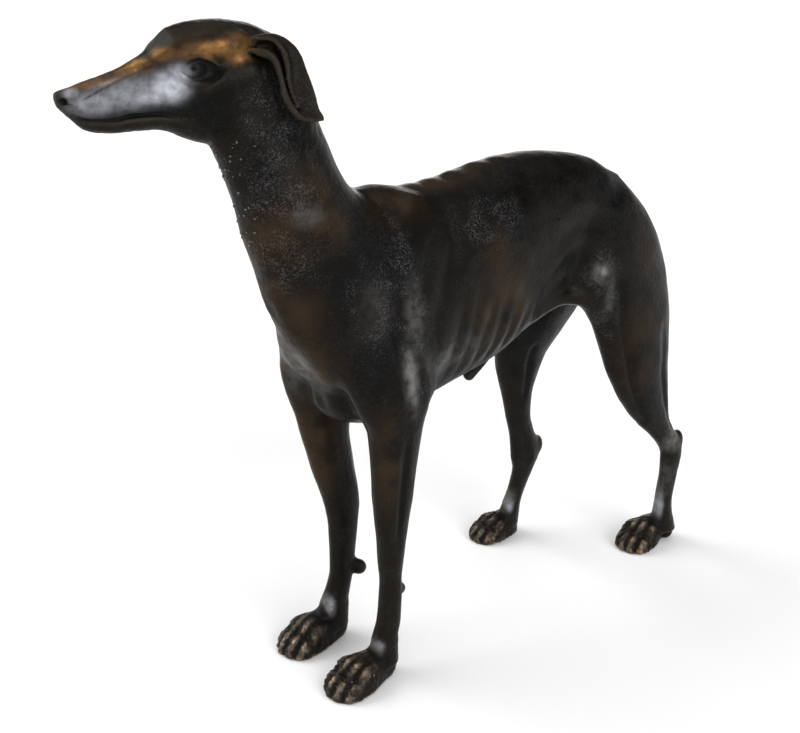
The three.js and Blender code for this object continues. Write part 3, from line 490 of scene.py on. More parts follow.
# The ears: each is folded back along the neck. Its front edge is a rolled lip that starts as
# a lobe in the hollow at the root, and a narrow groove parts the lip from the flap.
for s in BOTH:
    cord([
        (0.014, s * 0.052, 0.042, 0.011, 1.4), (-0.01, s * 0.066, 0.036, 0.017, 2.0),
        (-0.0285, s * 0.0745, 0.012, 0.0225, 2.7), (-0.0355, s * 0.079, -0.02, 0.024, 2.9),
        (-0.047, s * 0.081, -0.055, 0.0215, 2.9), (-0.058, s * 0.082, -0.078, 0.015, 2.6),
        (-0.075, s * 0.082, -0.092, 0.0055, 1.8),
    ], HEAD, blend=0.005, steps=8)
    cord([
        (0.014, s * 0.066, 0.047, 0.0035), (-0.004, s * 0.076, 0.042, 0.0045),
        (-0.017, s * 0.082, 0.028, 0.0052), (-0.021, s * 0.085, 0.003, 0.0055),
        (-0.0205, s * 0.086, -0.02, 0.0048), (-0.0225, s * 0.0865, -0.042, 0.0035),
        (-0.032, s * 0.087, -0.066, 0.002),
    ], HEAD, blend=0.006)
    egg((0.008, s * 0.07, 0.036), (0.02, 0.015, 0.009), HEAD, blend=0.003, dig=True)
    tooling([
        (0.004, 0.034, 0.006, -0.004), (-0.007, 0.028, 0.0055, -0.007), (-0.0125, 0.013, 0.0035, -0.007),
        (-0.0145, -0.008, 0.0026, -0.006), (-0.016, -0.027, 0.0026, -0.005),
        (-0.0215, -0.052, 0.003, -0.0045), (-0.031, -0.075, 0.0035, -0.003),
    ], HEAD, s, clear=0.06, deep=0.1)
    cord([
        (0.025, s * 0.06, 0.03, 0.0045), (0.012, s * 0.0685, 0.026, 0.0075),
        (-0.001, s * 0.076, 0.018, 0.0058), (-0.0065, s * 0.0815, 0.004, 0.0052),
        (-0.0095, s * 0.085, -0.018, 0.0052), (-0.0125, s * 0.087, -0.045, 0.0056),
        (-0.0245, s * 0.0875, -0.071, 0.0058), (-0.04, s * 0.086, -0.086, 0.005),
        (-0.066, s * 0.084, -0.093, 0.0035),
    ], HEAD, blend=0.003)

# The lean muscles, ribs and tendons under the skin were drawn with thumb and loop tool on both
# sides, last of all in the wax.
RIBS = [  # upper end and depth of the hollows between the ribs
    (0.8, 0.003), (0.83, 0.0045), (0.8, 0.0055), (0.82, 0.005), (0.79, 0.0055), (0.8, 0.0045),
    (0.78, 0.004),
]
for s in BOTH:
    tooling([
        (-0.54, 1.13, 0.02, 0.001), (-0.51, 1.08, 0.024, 0.005), (-0.476, 1.01, 0.026, 0.005),
        (-0.43, 0.92, 0.026, 0.003), (-0.41, 0.86, 0.02, 0.001),
    ], side=s, clear=0.03)
    tooling([
        (-0.585, 1.1, 0.014, -0.002), (-0.555, 0.99, 0.018, -0.005), (-0.52, 0.89, 0.018, -0.005),
        (-0.48, 0.8, 0.016, -0.003), (-0.45, 0.76, 0.014, -0.001),
    ], side=s, clear=0.02)
    tooling([
        (-0.345, 1.01, 0.013, -0.002), (-0.315, 0.96, 0.015, -0.0035), (-0.325, 0.92, 0.016, -0.002),
        (-0.35, 0.89, 0.016, -0.0005),
    ], side=s, clear=0.012)
    tooling([
        (-0.37, 0.88, 0.018, -0.001), (-0.39, 0.84, 0.02, -0.004), (-0.42, 0.78, 0.018, -0.004),
        (-0.445, 0.73, 0.014, -0.001),
    ], side=s, clear=0.03)
    tooling([
        (-0.2, 0.95, 0.018, 0.001), (-0.26, 0.9, 0.02, 0.004), (-0.31, 0.84, 0.02, 0.004),
        (-0.35, 0.79, 0.018, 0.001),
    ], side=s, clear=0.03)
    tooling([
        (-0.165, 0.96, 0.016, -0.001), (-0.185, 0.88, 0.022, -0.004), (-0.215, 0.8, 0.024, -0.006),
        (-0.235, 0.735, 0.022, -0.007), (-0.225, 0.66, 0.02, -0.006), (-0.21, 0.6, 0.016, -0.002),
    ], side=s, clear=0.04)
    tooling([
        (-0.265, 0.88, 0.018, 0.001), (-0.29, 0.81, 0.02, 0.004), (-0.285, 0.73, 0.019, 0.006),
        (-0.27, 0.65, 0.017, 0.006), (-0.265, 0.59, 0.014, 0.002),
    ], side=s, clear=0.05)
    tooling([
        (-0.33, 0.84, 0.015, -0.001), (-0.345, 0.79, 0.016, -0.003), (-0.335, 0.71, 0.016, -0.004),
        (-0.32, 0.63, 0.014, -0.003), (-0.315, 0.57, 0.012, -0.001),
    ], side=s, clear=0.05)
    for n, (crown, hollow) in enumerate(RIBS):
        y = -0.17 + 0.042 * n
        foot = 0.575 + 0.012 * n + max(0, n - 3) * 0.009
        tooling([
            (y + 0.02, crown, 0.013, 0.0), (y + 0.01, crown - 0.05, 0.013, -0.4 * hollow),
            (y + 0.006, 0.7, 0.012, -hollow), (y + 0.004, 0.65, 0.012, -hollow),
            (y - 0.008, foot, 0.012, -0.001),
        ], side=s, clear=0.04)
    tooling([
        (0.11, 0.885, 0.016, 0.001), (0.19, 0.905, 0.017, 0.003), (0.26, 0.893, 0.016, 0.003),
        (0.33, 0.862, 0.015, 0.001),
    ], side=s, clear=0.03)
    tooling([
        (0.1, 0.845, 0.015, 0.0), (0.16, 0.862, 0.016, -0.003), (0.23, 0.866, 0.016, -0.0035),
        (0.3, 0.838, 0.015, -0.001),
    ], side=s, clear=0.03)
    tooling([
        (0.12, 0.8, 0.015, 0.001), (0.17, 0.826, 0.016, 0.003), (0.225, 0.828, 0.016, 0.003),
        (0.275, 0.8, 0.015, 0.001),
    ], side=s, clear=0.03)
    tooling([
        (0.12, 0.76, 0.018, -0.001), (0.165, 0.782, 0.02, -0.005), (0.21, 0.775, 0.02, -0.0045),
        (0.23, 0.74, 0.018, -0.001),
    ], side=s, clear=0.03)
LEFT, RIGHT = 1, -1
cord([(0.055, 0.1, 0.685, 0.01), (0.066, 0.18, 0.702, 0.012), (0.085, 0.26, 0.69, 0.016)], blend=0.03)
cord([(-0.055, 0.08, 0.675, 0.01), (-0.066, 0.14, 0.69, 0.012), (-0.085, 0.2, 0.68, 0.016)], blend=0.03)
egg((0.265, 0.096, 0.755), (0.02, 0.016, 0.036), blend=0.025)
egg((0.218, -0.096, 0.745), (0.02, 0.016, 0.036), blend=0.025)
tooling([
    (0.3, 0.73, 0.012, -0.001), (0.312, 0.66, 0.012, -0.005), (0.335, 0.57, 0.011, -0.005),
    (0.367, 0.475, 0.009, -0.005), (0.43, 0.37, 0.008, -0.003),
], side=LEFT, clear=0.06)
tooling([
    (0.455, 0.6, 0.012, -0.001), (0.465, 0.5, 0.01, -0.005), (0.492, 0.41, 0.008, -0.006),
    (0.53, 0.335, 0.007, -0.004),
], side=LEFT, clear=0.06)
tooling([
    (0.25, 0.7, 0.012, -0.001), (0.25, 0.6, 0.012, -0.005), (0.245, 0.5, 0.01, -0.005),
    (0.25, 0.42, 0.008, -0.003),
], side=RIGHT, clear=0.06)
for x_side, near, far in ((LEFT, -0.326, -0.33), (RIGHT, -0.342, -0.318)):
    tooling([
        (near, 0.56, 0.009, -0.001), (near, 0.48, 0.009, -0.005), (far, 0.36, 0.007, -0.004),
        (far, 0.29, 0.006, -0.001),
    ], side=x_side, clear=0.05)
cord([(0, -0.545, 0.8, 0.006), (0, -0.5, 0.69, 0.013), (0, -0.43, 0.6, 0.008)], blend=0.03, dig=True)

# The soles were filed to one level, so that the figure stands by itself.
wax[:] = np.maximum(wax, (GROUND - edges[2])[None, None, :])

# The bronze. Metal took the place of the wax, so the skin of the wax is the casting: one patch
# lies in each cell that the skin crosses, and the skin is then thinned where it is plain.


def skin(block):
    """Points and four-sided patches on the skin of a block of distances."""
    full = block < 0
    inner = [n - 1 for n in block.shape]
    corners = [(i, j, k) for i in (0, 1) for j in (0, 1) for k in (0, 1)]
    filled = sum(
        full[i:inner[0] + i, j:inner[1] + j, k:inner[2] + k].astype(np.int8) for i, j, k in corners)
    crossed = (filled > 0) & (filled < 8)
    found = np.argwhere(crossed)
    number = np.full(crossed.shape, -1, np.int32)
    number[crossed] = np.arange(len(found))
    value = np.stack([block[tuple((found + c).T)] for c in corners], 1)
    total, hits = np.zeros((len(found), 3)), np.zeros(len(found))
    for a in range(8):
        for b in range(a + 1, 8):
            step = np.subtract(corners[b], corners[a])
            if np.abs(step).sum() != 1:
                continue
            cut = (value[:, a] < 0) != (value[:, b] < 0)
            t = value[:, a] / np.where(cut, value[:, a] - value[:, b], 1)
            total += np.where(cut[:, None], corners[a] + step * t[:, None], 0)
            hits += cut
    points = found + total / hits[:, None]
    patches = []
    for axis in range(3):
        before = [slice(1, -1)] * 3
        after = list(before)
        before[axis], after[axis] = slice(0, -1), slice(1, None)
        here, there = full[tuple(before)], full[tuple(after)]
        base = np.array([0 if a == axis else 1 for a in range(3)])
        spots = np.argwhere(here != there)
        outward = here[tuple(spots.T)]
        u, w = np.eye(3, dtype=int)[(axis + 1) % 3], np.eye(3, dtype=int)[(axis + 2) % 3]
        ring = [number[tuple((spots + base - m).T)] for m in (u + w, w, 0 * u, u)]
        ring = np.stack(ring, 1)
        ring[~outward] = ring[~outward][:, ::-1]
        patches.append(ring)
    return points * CELL + NEAR, np.concatenate(patches)


points, patches = skin(wax)

mesh = bpy.data.meshes.new("greyhound_casting")
mesh.from_pydata(
    (points - (*MIDDLE, GROUND)) * share + (figure_middle.x, figure_middle.y, lowest.z),
    [], patches.tolist())
casting = bpy.data.objects.new("greyhound_casting", mesh)
bpy.context.scene.collection.objects.link(casting)

FACETS = 190000  # triangles left after thinning
HEAD_FROM, PAWS_TO = 1.09, 0.11  # heights in shares, above and below which the skin stays fine


def in_shares(block):
    """The corners of a mesh, in shares."""
    flat = np.empty(len(block.vertices) * 3)
    block.vertices.foreach_get("co", flat)
    return (flat.reshape(-1, 3) - (figure_middle.x, figure_middle.y, lowest.z)) / share + (
        *MIDDLE, GROUND)


places = in_shares(mesh)
fine = (places[:, 2] > HEAD_FROM) | (places[:, 2] < PAWS_TO)
group = casting.vertex_groups.new(name="plain")
group.add(np.flatnonzero(~fine).tolist(), 1.0, "REPLACE")
group.add(np.flatnonzero(fine).tolist(), 0.25, "REPLACE")
thinner = casting.modifiers.new("thin", "DECIMATE")
thinner.ratio = FACETS / (2 * len(patches))
thinner.vertex_group = "plain"
thinner.vertex_group_factor = 1.0
thinner.use_collapse_triangulate = True
shaped = casting.evaluated_get(bpy.context.evaluated_depsgraph_get())
thinned = bpy.data.meshes.new_from_object(shaped)
casting.modifiers.clear()
casting.vertex_groups.clear()
casting.data = thinned
mesh = thinned

# The patina, its wear and painted light. Marks on the casting say where hands and buffing have worn it:
# gold on the brow, silvery on the side of the muzzle, bright on the toes; the silvery muzzle and the
# bright toes are also painted highlights. Other marks paint glints on pasterns, hocks, stifle and upper
# arm and a dull grey sheen on limbs, chest and flank. More marks say where the brown is warm, where the
# grain shows and is painted with glints, and what is proud or sunk.


def waves(points, size, seed):
    """A smooth uneven value, about -1 to 1, that changes over that size in shares."""
    random = np.random.default_rng(seed)
    total = np.zeros(len(points))
    for _ in range(12):
        way = random.normal(size=3)
        way /= np.linalg.norm(way)
        wave = size * random.uniform(0.7, 1.6)
        total += np.sin(points @ way * 2 * np.pi / wave + random.uniform(0, 2 * np.pi))
    return total / 4


def sampled(block, points):
    """The block's distances at points, between its cells."""
    at = (points - NEAR) / CELL
    first = np.clip(np.floor(at).astype(int), 0, np.array(block.shape) - 2)
    t = at - first
    total = np.zeros(len(points))
    for i in (0, 1):
        for j in (0, 1):
            for k in (0, 1):
                weight = np.abs((1 - i - t[:, 0]) * (1 - j - t[:, 1]) * (1 - k - t[:, 2]))
                total += weight * block[first[:, 0] + i, first[:, 1] + j, first[:, 2] + k]
    return total


def proud(points, reach):
    """How far a place stands out over that reach, in shares: about 1 on a sharp ridge."""
    total = np.zeros(len(points))
    ways = [np.array((i, j, k), float) for i in (-1, 0, 1) for j in (-1, 0, 1) for k in (-1, 0, 1)
            if (i, j, k) != (0, 0, 0)]
    for way in ways:
        total += sampled(wax, points + reach * way / np.linalg.norm(way))
    return total / len(ways) / reach * 3


places = in_shares(mesh)


def patch(centre, half, aim):
    """A soft round patch on the casting: 1 at its centre, 0 past its edge."""
    at = np.array(aim.local(places.T))
    gap = ((at - np.array(centre)[:, None]) / np.array(half)[:, None]) ** 2
    return np.exp(-gap.sum(0) ** 1.5)


def marked(rows, aim=None, sides=(1,)):
    """The strongest of several patches: rows of centre, half sizes and, if not 1, depth.

    Rows with an aim are in its directions: along, side and up. The others are x, y and z.
    """
    across = 1 if aim else 0
    strongest = np.zeros(len(places))
    for centre, half, *depth in rows:
        for s in sides:
            middle = [s * c if n == across else c for n, c in enumerate(centre)]
            spot = patch(middle, half, aim or plain((0, 1, 2)))
            strongest = np.maximum(strongest, (depth or [1.0])[0] * spot)
    return strongest


marks = {
    "ridge": np.clip(proud(places, 0.007), -1, 1),
    "form": np.clip(proud(places, 0.03), -1, 1),
}
gold = marked([
    ((0.085, 0.057, 0.040), (0.06, 0.03, 0.014)), ((0.16, 0.034, 0.040), (0.03, 0.02, 0.012)),
    ((0.21, 0.018, 0.024), (0.05, 0.02, 0.012)), ((0.28, 0.012, 0.008), (0.05, 0.016, 0.010)),
    ((0.05, 0.06, 0.034), (0.025, 0.03, 0.022)),
], HEAD, BOTH)
# Silvery worn metal on the sides of the muzzle, painted brighter and bluish as a highlight.
silver = marked([
    ((0.225, 0.035, -0.016), (0.075, 0.03, 0.026), 0.4), ((0.285, 0.028, -0.024), (0.045, 0.02, 0.02), 0.42),
    ((0.168, 0.045, -0.012), (0.03, 0.03, 0.024), 1.0), ((0.19, 0.045, -0.026), (0.04, 0.03, 0.012), 0.75),
    ((0.15, 0.045, 0.008), (0.02, 0.03, 0.016), 0.6), ((0.318, 0.018, -0.004), (0.012, 0.02, 0.008), 0.5),
], HEAD, BOTH)
# painted glints, standing for highlights, on pasterns, hocks, stifle and upper arm
silver = np.maximum(silver, marked([
    ((-0.06, -0.352, 0.106), (0.03, 0.007, 0.018), 0.45), ((0.11, -0.365, 0.095), (0.03, 0.006, 0.011), 0.22),
    ((-0.142, 0.273, 0.106), (0.02, 0.007, 0.015), 0.5), ((0.109, 0.531, 0.12), (0.02, 0.006, 0.03), 0.4),
    ((0.114, 0.254, 0.757), (0.05, 0.007, 0.010), 0.22), ((0.132, -0.308, 0.65), (0.05, 0.008, 0.05), 0.16),
]))
PAWS = [(0.101, -0.44), (-0.082, -0.43), (0.091, 0.475), (-0.171, 0.235)]
toes = marked([((x, y, 0.045), (0.055, 0.05, 0.055)) for x, y in PAWS])
# Where the grain shows; there its specks are also painted lighter, as glints.
grain = marked([
    ((0.07, -0.54, 1.04), (0.09, 0.07, 0.10)), ((0.05, -0.54, 0.92), (0.09, 0.06, 0.08)),
    ((0.10, -0.38, 0.81), (0.08, 0.05, 0.08)), ((0.12, -0.29, 0.74), (0.08, 0.035, 0.13)),
    ((0.10, 0.26, 0.75), (0.08, 0.04, 0.05)), ((0.11, 0.28, 0.66), (0.08, 0.03, 0.09)),
    ((0.09, -0.07, 0.92), (0.08, 0.08, 0.05)), ((0.09, -0.31, 0.90), (0.08, 0.03, 0.06)),
    ((0.06, -0.55, 1.16), (0.09, 0.05, 0.06)),
], sides=BOTH)
# Painted sheen: dull grey highlights on elbow, upper arm, shoulder, stifle, hocks, cannons, pasterns, chest,
# belly and neck.
rubbed = marked([
    ((0.13, -0.309, 0.655), (0.05, 0.017, 0.06), 1.0), ((0.115, -0.288, 0.765), (0.05, 0.02, 0.07), 0.45),
    ((0.107, -0.378, 0.81), (0.05, 0.03, 0.05), 0.15), ((0.114, 0.252, 0.757), (0.05, 0.022, 0.022), 0.7),
    ((0.116, 0.279, 0.69), (0.05, 0.012, 0.04), 0.4), ((0.129, 0.535, 0.297), (0.04, 0.03, 0.035), 0.7),
    ((0.109, 0.532, 0.19), (0.04, 0.03, 0.05), 0.35), ((-0.06, -0.352, 0.106), (0.03, 0.009, 0.019), 1.5),
    ((0.11, -0.365, 0.095), (0.03, 0.009, 0.013), 1.1), ((-0.008, -0.462, 0.683), (0.05, 0.03, 0.08), 0.5),
    ((0.096, -0.165, 0.668), (0.06, 0.09, 0.035), 0.35), ((0.065, -0.547, 1.061), (0.06, 0.04, 0.05), 0.06),
    ((-0.05, -0.44, 0.66), (0.04, 0.03, 0.09), 0.5), ((-0.145, 0.262, 0.13), (0.02, 0.02, 0.03), 1.0),
    ((0.1, 0.527, 0.13), (0.02, 0.016, 0.035), 1.0), ((0.085, -0.51, 0.99), (0.03, 0.03, 0.02), 0.5),
])
warm = marked([
    ((0.05, -0.55, 0.94), (0.08, 0.06, 0.07), 0.8), ((0.09, -0.47, 0.977), (0.07, 0.04, 0.06), 0.8),
    ((0.06, -0.29, 0.965), (0.08, 0.07, 0.03), 0.8), ((0.0, -0.12, 1.0), (0.05, 0.14, 0.03), 1.0),
    ((0.11, -0.03, 0.73), (0.08, 0.09, 0.07), 0.8), ((0.11, -0.07, 0.84), (0.05, 0.03, 0.07), 0.5),
    ((0.11, 0.41, 0.74), (0.08, 0.06, 0.13), 0.3), ((0.13, 0.38, 0.56), (0.06, 0.06, 0.12), 0.45),
    ((-0.063, -0.39, 0.47), (0.05, 0.05, 0.15), 1.0), ((0.13, -0.36, 0.5), (0.04, 0.03, 0.1), 0.7),
    ((0.0, -0.47, 0.68), (0.09, 0.05, 0.09), 1.0), ((0.02, -0.56, 0.88), (0.05, 0.04, 0.10), 0.9),
    ((0.03, -0.50, 0.80), (0.06, 0.04, 0.06), 0.7), ((0.06, -0.50, 1.03), (0.06, 0.04, 0.05), 0.7),
])
warm = np.maximum(warm, marked([((0.10, 0.04, 0.062), (0.09, 0.045, 0.022), 0.4)], HEAD, BOTH))
marks.update(gold=gold, silver=silver, toes=toes, grain=grain, rubbed=rubbed, warm=warm)

# The sand of the mould left the skin a little uneven, most of all on the toes.
normals = np.empty(len(places) * 3)
mesh.vertices.foreach_get("normal", normals)
uneven = 0.00025 * waves(places, 0.05, 1) + 0.00012 * waves(places, 0.014, 2)
uneven += 0.0011 * toes * waves(places, 0.011, 3)
flat_sole = places[:, 2] < GROUND + 0.002
shift = (uneven * ~flat_sole)[:, None] * normals.reshape(-1, 3)
moved = np.array([v.co for v in mesh.vertices]) + shift
low, high = np.array(cad_box)
moved = np.clip(moved, low, high)
mesh.vertices.foreach_set("co", moved.ravel())
for name, values in marks.items():
    mesh.attributes.new(name, "FLOAT", "POINT").data.foreach_set("value", values.astype(np.float32))
mesh.shade_smooth()
mesh.update()


def sand_grain():
    """Node group: the fine sand grain of a casting. Gives a height and a mask of its specks."""
    tree = bpy.data.node_groups.new("Sand grain", "ShaderNodeTree")
    for name, kind, value in (("Grain Size", "NodeSocketFloat", 0.001), ("Seed", "NodeSocketFloat", 0)):
        tree.interface.new_socket(name, in_out="INPUT", socket_type=kind).default_value = value
    for name in ("Height", "Specks"):
        tree.interface.new_socket(name, in_out="OUTPUT", socket_type="NodeSocketFloat")
    nodes, links = tree.nodes, tree.links
    given, made = nodes.new("NodeGroupInput"), nodes.new("NodeGroupOutput")
    place = nodes.new("ShaderNodeTexCoord")
    scale = nodes.new("ShaderNodeMath")
    scale.operation = "DIVIDE"
    scale.inputs[0].default_value = 1
    links.new(given.outputs["Grain Size"], scale.inputs[1])
    noise = nodes.new("ShaderNodeTexNoise")
    noise.noise_dimensions = "4D"
    noise.inputs["Detail"].default_value = 2
    noise.inputs["Roughness"].default_value = 0.6
    links.new(place.outputs["Object"], noise.inputs["Vector"])
    links.new(scale.outputs[0], noise.inputs["Scale"])
    links.new(given.outputs["Seed"], noise.inputs["W"])
    specks = nodes.new("ShaderNodeMapRange")
    specks.inputs["From Min"].default_value = 0.48
    specks.inputs["From Max"].default_value = 0.8
    links.new(noise.outputs["Fac"], specks.inputs["Value"])
    links.new(noise.outputs["Fac"], made.inputs["Height"])
    links.new(specks.outputs["Result"], made.inputs["Specks"])
    return tree


SAND_GRAIN = sand_grain()
SKIN_GRAIN, COARSE_GRAIN = 0.0013, 0.005  # sizes of the fine and the coarse grain, in metres
HOLLOW_BLACK = (0.0013, 0.0012, 0.0009)
BLACK_BROWN = (0.0045, 0.0031, 0.0018)
FORM_BROWN = (0.0075, 0.0052, 0.0030)
WARM_BROWN = (0.032, 0.0185, 0.0085)
EDGE_BROWN = (0.028, 0.021, 0.0145)
# the dull grey of the painted sheen, highlights laid on as colour
PAINTED_SHEEN_GREY = (0.105, 0.100, 0.092)
# the light specks of the grain, painted as glints
COOL_SPECK_GLINT = (0.075, 0.076, 0.082)
WARM_SPECK_GLINT = (0.085, 0.062, 0.044)
WORN_GOLD = (0.225, 0.112, 0.038)
# silvery worn metal, painted bright as a highlight
WORN_SILVER_AND_HIGHLIGHT = (0.52, 0.54, 0.59)
# toes worn bright, painted brighter still as a highlight
TOE_WEAR_AND_HIGHLIGHT = (0.50, 0.375, 0.27)
CREVICE_BLACK = (0.0025, 0.0024, 0.0022)


def bronze():
    """Patinated bronze: near-black in the hollows, brown on the forms, worn where marked, with painted
    highlights, glints and sheen where marked.
    """
    material = bpy.data.materials.new("patinated_bronze")
    material.use_nodes = True
    nodes, links = material.node_tree.nodes, material.node_tree.links
    shader = nodes["Principled BSDF"]
    shader.inputs["Specular IOR Level"].default_value = 0.075

    def mark(name):
        node = nodes.new("ShaderNodeAttribute")
        node.attribute_name = name
        return node.outputs["Fac"]

    def ramp(value, low, high, to_low=0.0, to_high=1.0):
        node = nodes.new("ShaderNodeMapRange")
        node.interpolation_type = "SMOOTHSTEP"
        for name, number in zip(("From Min", "From Max", "To Min", "To Max"),
                                (low, high, to_low, to_high)):
            node.inputs[name].default_value = number
        links.new(value, node.inputs["Value"])
        return node.outputs["Result"]

    def combined(kind, a, b):
        node = nodes.new("ShaderNodeMath")
        node.operation = kind
        for socket, value in zip(node.inputs, (a, b)):
            if isinstance(value, (int, float)):
                socket.default_value = value
            else:
                links.new(value, socket)
        return node.outputs[0]

    def mixed(mask, a, b, kind="RGBA"):
        node = nodes.new("ShaderNodeMix")
        node.data_type = kind
        ends = ("A_Color", "B_Color") if kind == "RGBA" else ("A_Float", "B_Float")
        factor = next(i for i in node.inputs if i.identifier == "Factor_Float")
        links.new(mask, factor)
        for end, value in zip(ends, (a, b)):
            socket = next(i for i in node.inputs if i.identifier == end)
            if isinstance(value, bpy.types.NodeSocket):
                links.new(value, socket)
            elif kind == "RGBA":
                socket.default_value = (*value, 1)
            else:
                socket.default_value = value
        end = "Result_Color" if kind == "RGBA" else "Result_Float"
        return next(o for o in node.outputs if o.identifier == end)

    def cloud(size, detail, seed):
        node = nodes.new("ShaderNodeTexNoise")
        node.noise_dimensions = "4D"
        node.inputs["Scale"].default_value = 1 / size
        node.inputs["Detail"].default_value = detail
        node.inputs["W"].default_value = seed
        links.new(place.outputs["Object"], node.inputs["Vector"])
        return node.outputs["Fac"]

    place = nodes.new("ShaderNodeTexCoord")
    sand = nodes.new("ShaderNodeGroup")
    sand.node_tree = SAND_GRAIN
    sand.inputs["Grain Size"].default_value = SKIN_GRAIN
    sand.inputs["Seed"].default_value = 3
    coarse = nodes.new("ShaderNodeGroup")
    coarse.node_tree = SAND_GRAIN
    coarse.inputs["Grain Size"].default_value = COARSE_GRAIN
    coarse.inputs["Seed"].default_value = 8

    # colours, from the black of the hollows to worn metal and painted highlights
    color = mixed(ramp(cloud(0.06, 5, 1), 0.42, 0.62), HOLLOW_BLACK, BLACK_BROWN)
    color = mixed(ramp(mark("form"), 0.05, 0.45, 0, 0.8), color, FORM_BROWN)
    warm = combined("MULTIPLY", mark("warm"), ramp(cloud(0.03, 6, 6), 0.3, 0.62))
    color = mixed(warm, color, WARM_BROWN)
    color = mixed(ramp(mark("ridge"), 0.1, 0.7, 0, 0.7), color, EDGE_BROWN)
    # painted sheen: dull grey highlights on limbs, chest and flank, broken by a fine cloud
    painted_sheen_mask = combined("MULTIPLY", mark("rubbed"), ramp(cloud(0.009, 7, 7), 0.32, 0.66, 0.2, 1.25))
    color = mixed(painted_sheen_mask, color, PAINTED_SHEEN_GREY)
    # painted glints: specks of the sand grain painted lighter, as light caught by the grain
    speck_glints = combined("MULTIPLY", ramp(mark("grain"), 0, 0.8, 0.2, 1), sand.outputs["Specks"])
    speck_glints = combined("MULTIPLY", speck_glints, ramp(cloud(0.014, 5, 11), 0.35, 0.65, 0.15, 1.3))
    speck_glint = mixed(mark("warm"), COOL_SPECK_GLINT, WARM_SPECK_GLINT)
    color = mixed(speck_glints, color, speck_glint)
    gilt = combined("MULTIPLY", mark("gold"), ramp(cloud(0.015, 6, 2), 0.34, 0.64, 0.15, 1))
    color = mixed(gilt, color, WORN_GOLD)
    # silvery muzzle worn and painted as a highlight, and painted glints on the legs
    silver_and_glint_mask = combined("MULTIPLY", mark("silver"), ramp(cloud(0.006, 7, 4), 0.2, 0.7, 0.45, 1.0))
    color = mixed(silver_and_glint_mask, color, WORN_SILVER_AND_HIGHLIGHT)
    patchy = ramp(cloud(0.004, 3, 9), 0.4, 0.64, 0.3, 1.0)
    patchy = combined("MULTIPLY", patchy, ramp(cloud(0.013, 2, 12), 0.4, 0.62, 0.12, 1))
    # toes worn bright by buffing on their ridges, painted brighter as a highlight
    buffed_and_highlit = combined("MULTIPLY", combined("MULTIPLY", mark("toes"), ramp(mark("ridge"), 0.0, 0.5)), patchy)
    color = mixed(buffed_and_highlit, color, TOE_WEAR_AND_HIGHLIGHT)
    color = mixed(ramp(mark("ridge"), -0.05, -0.5), color, CREVICE_BLACK)
    links.new(color, shader.inputs["Base Color"])

    # metallic and smooth where worn, and where highlights, glints and sheen are painted
    bare_and_sheen = combined("MAXIMUM", combined("MAXIMUM", gilt, silver_and_glint_mask), combined("MAXIMUM", buffed_and_highlit, painted_sheen_mask))
    links.new(ramp(bare_and_sheen, 0.1, 0.9, 0.0, 0.8), shader.inputs["Metallic"])
    rough = mixed(ramp(cloud(0.03, 4, 5), 0.3, 0.7), 0.28, 0.44, "FLOAT")
    rough = mixed(bare_and_sheen, rough, 0.3, "FLOAT")
    links.new(rough, shader.inputs["Roughness"])

    strength = ramp(mark("grain"), 0.0, 1.0, 0.25, 0.9)
    height = combined("MULTIPLY", sand.outputs["Height"], strength)
    height = combined("ADD", height, combined("MULTIPLY", coarse.outputs["Height"], 0.8))
    bump = nodes.new("ShaderNodeBump")
    bump.inputs["Distance"].default_value = 0.0009
    bump.inputs["Strength"].default_value = 0.8
    links.new(height, bump.inputs["Height"])
    links.new(bump.outputs["Normal"], shader.inputs["Normal"])
    return material


BRONZE = bronze()
mesh.materials.append(BRONZE)

# Casting beads: small bubbles in the mould filled with metal and left round beads on the skin
# of the throat, the front of the neck and the toes. A mark says how many a place has.
BEAD_ROOM = 0.003  # beads stay this far inside the solid's box, in metres
# The beads take the painted grey sheen at the strength given after the radius, a painted glint on each.
BEADS = {"Beads per Square Metre": 12000.0, "Bead Radius": 0.001, "Painted Glint": 2.0, "Seed": 5}


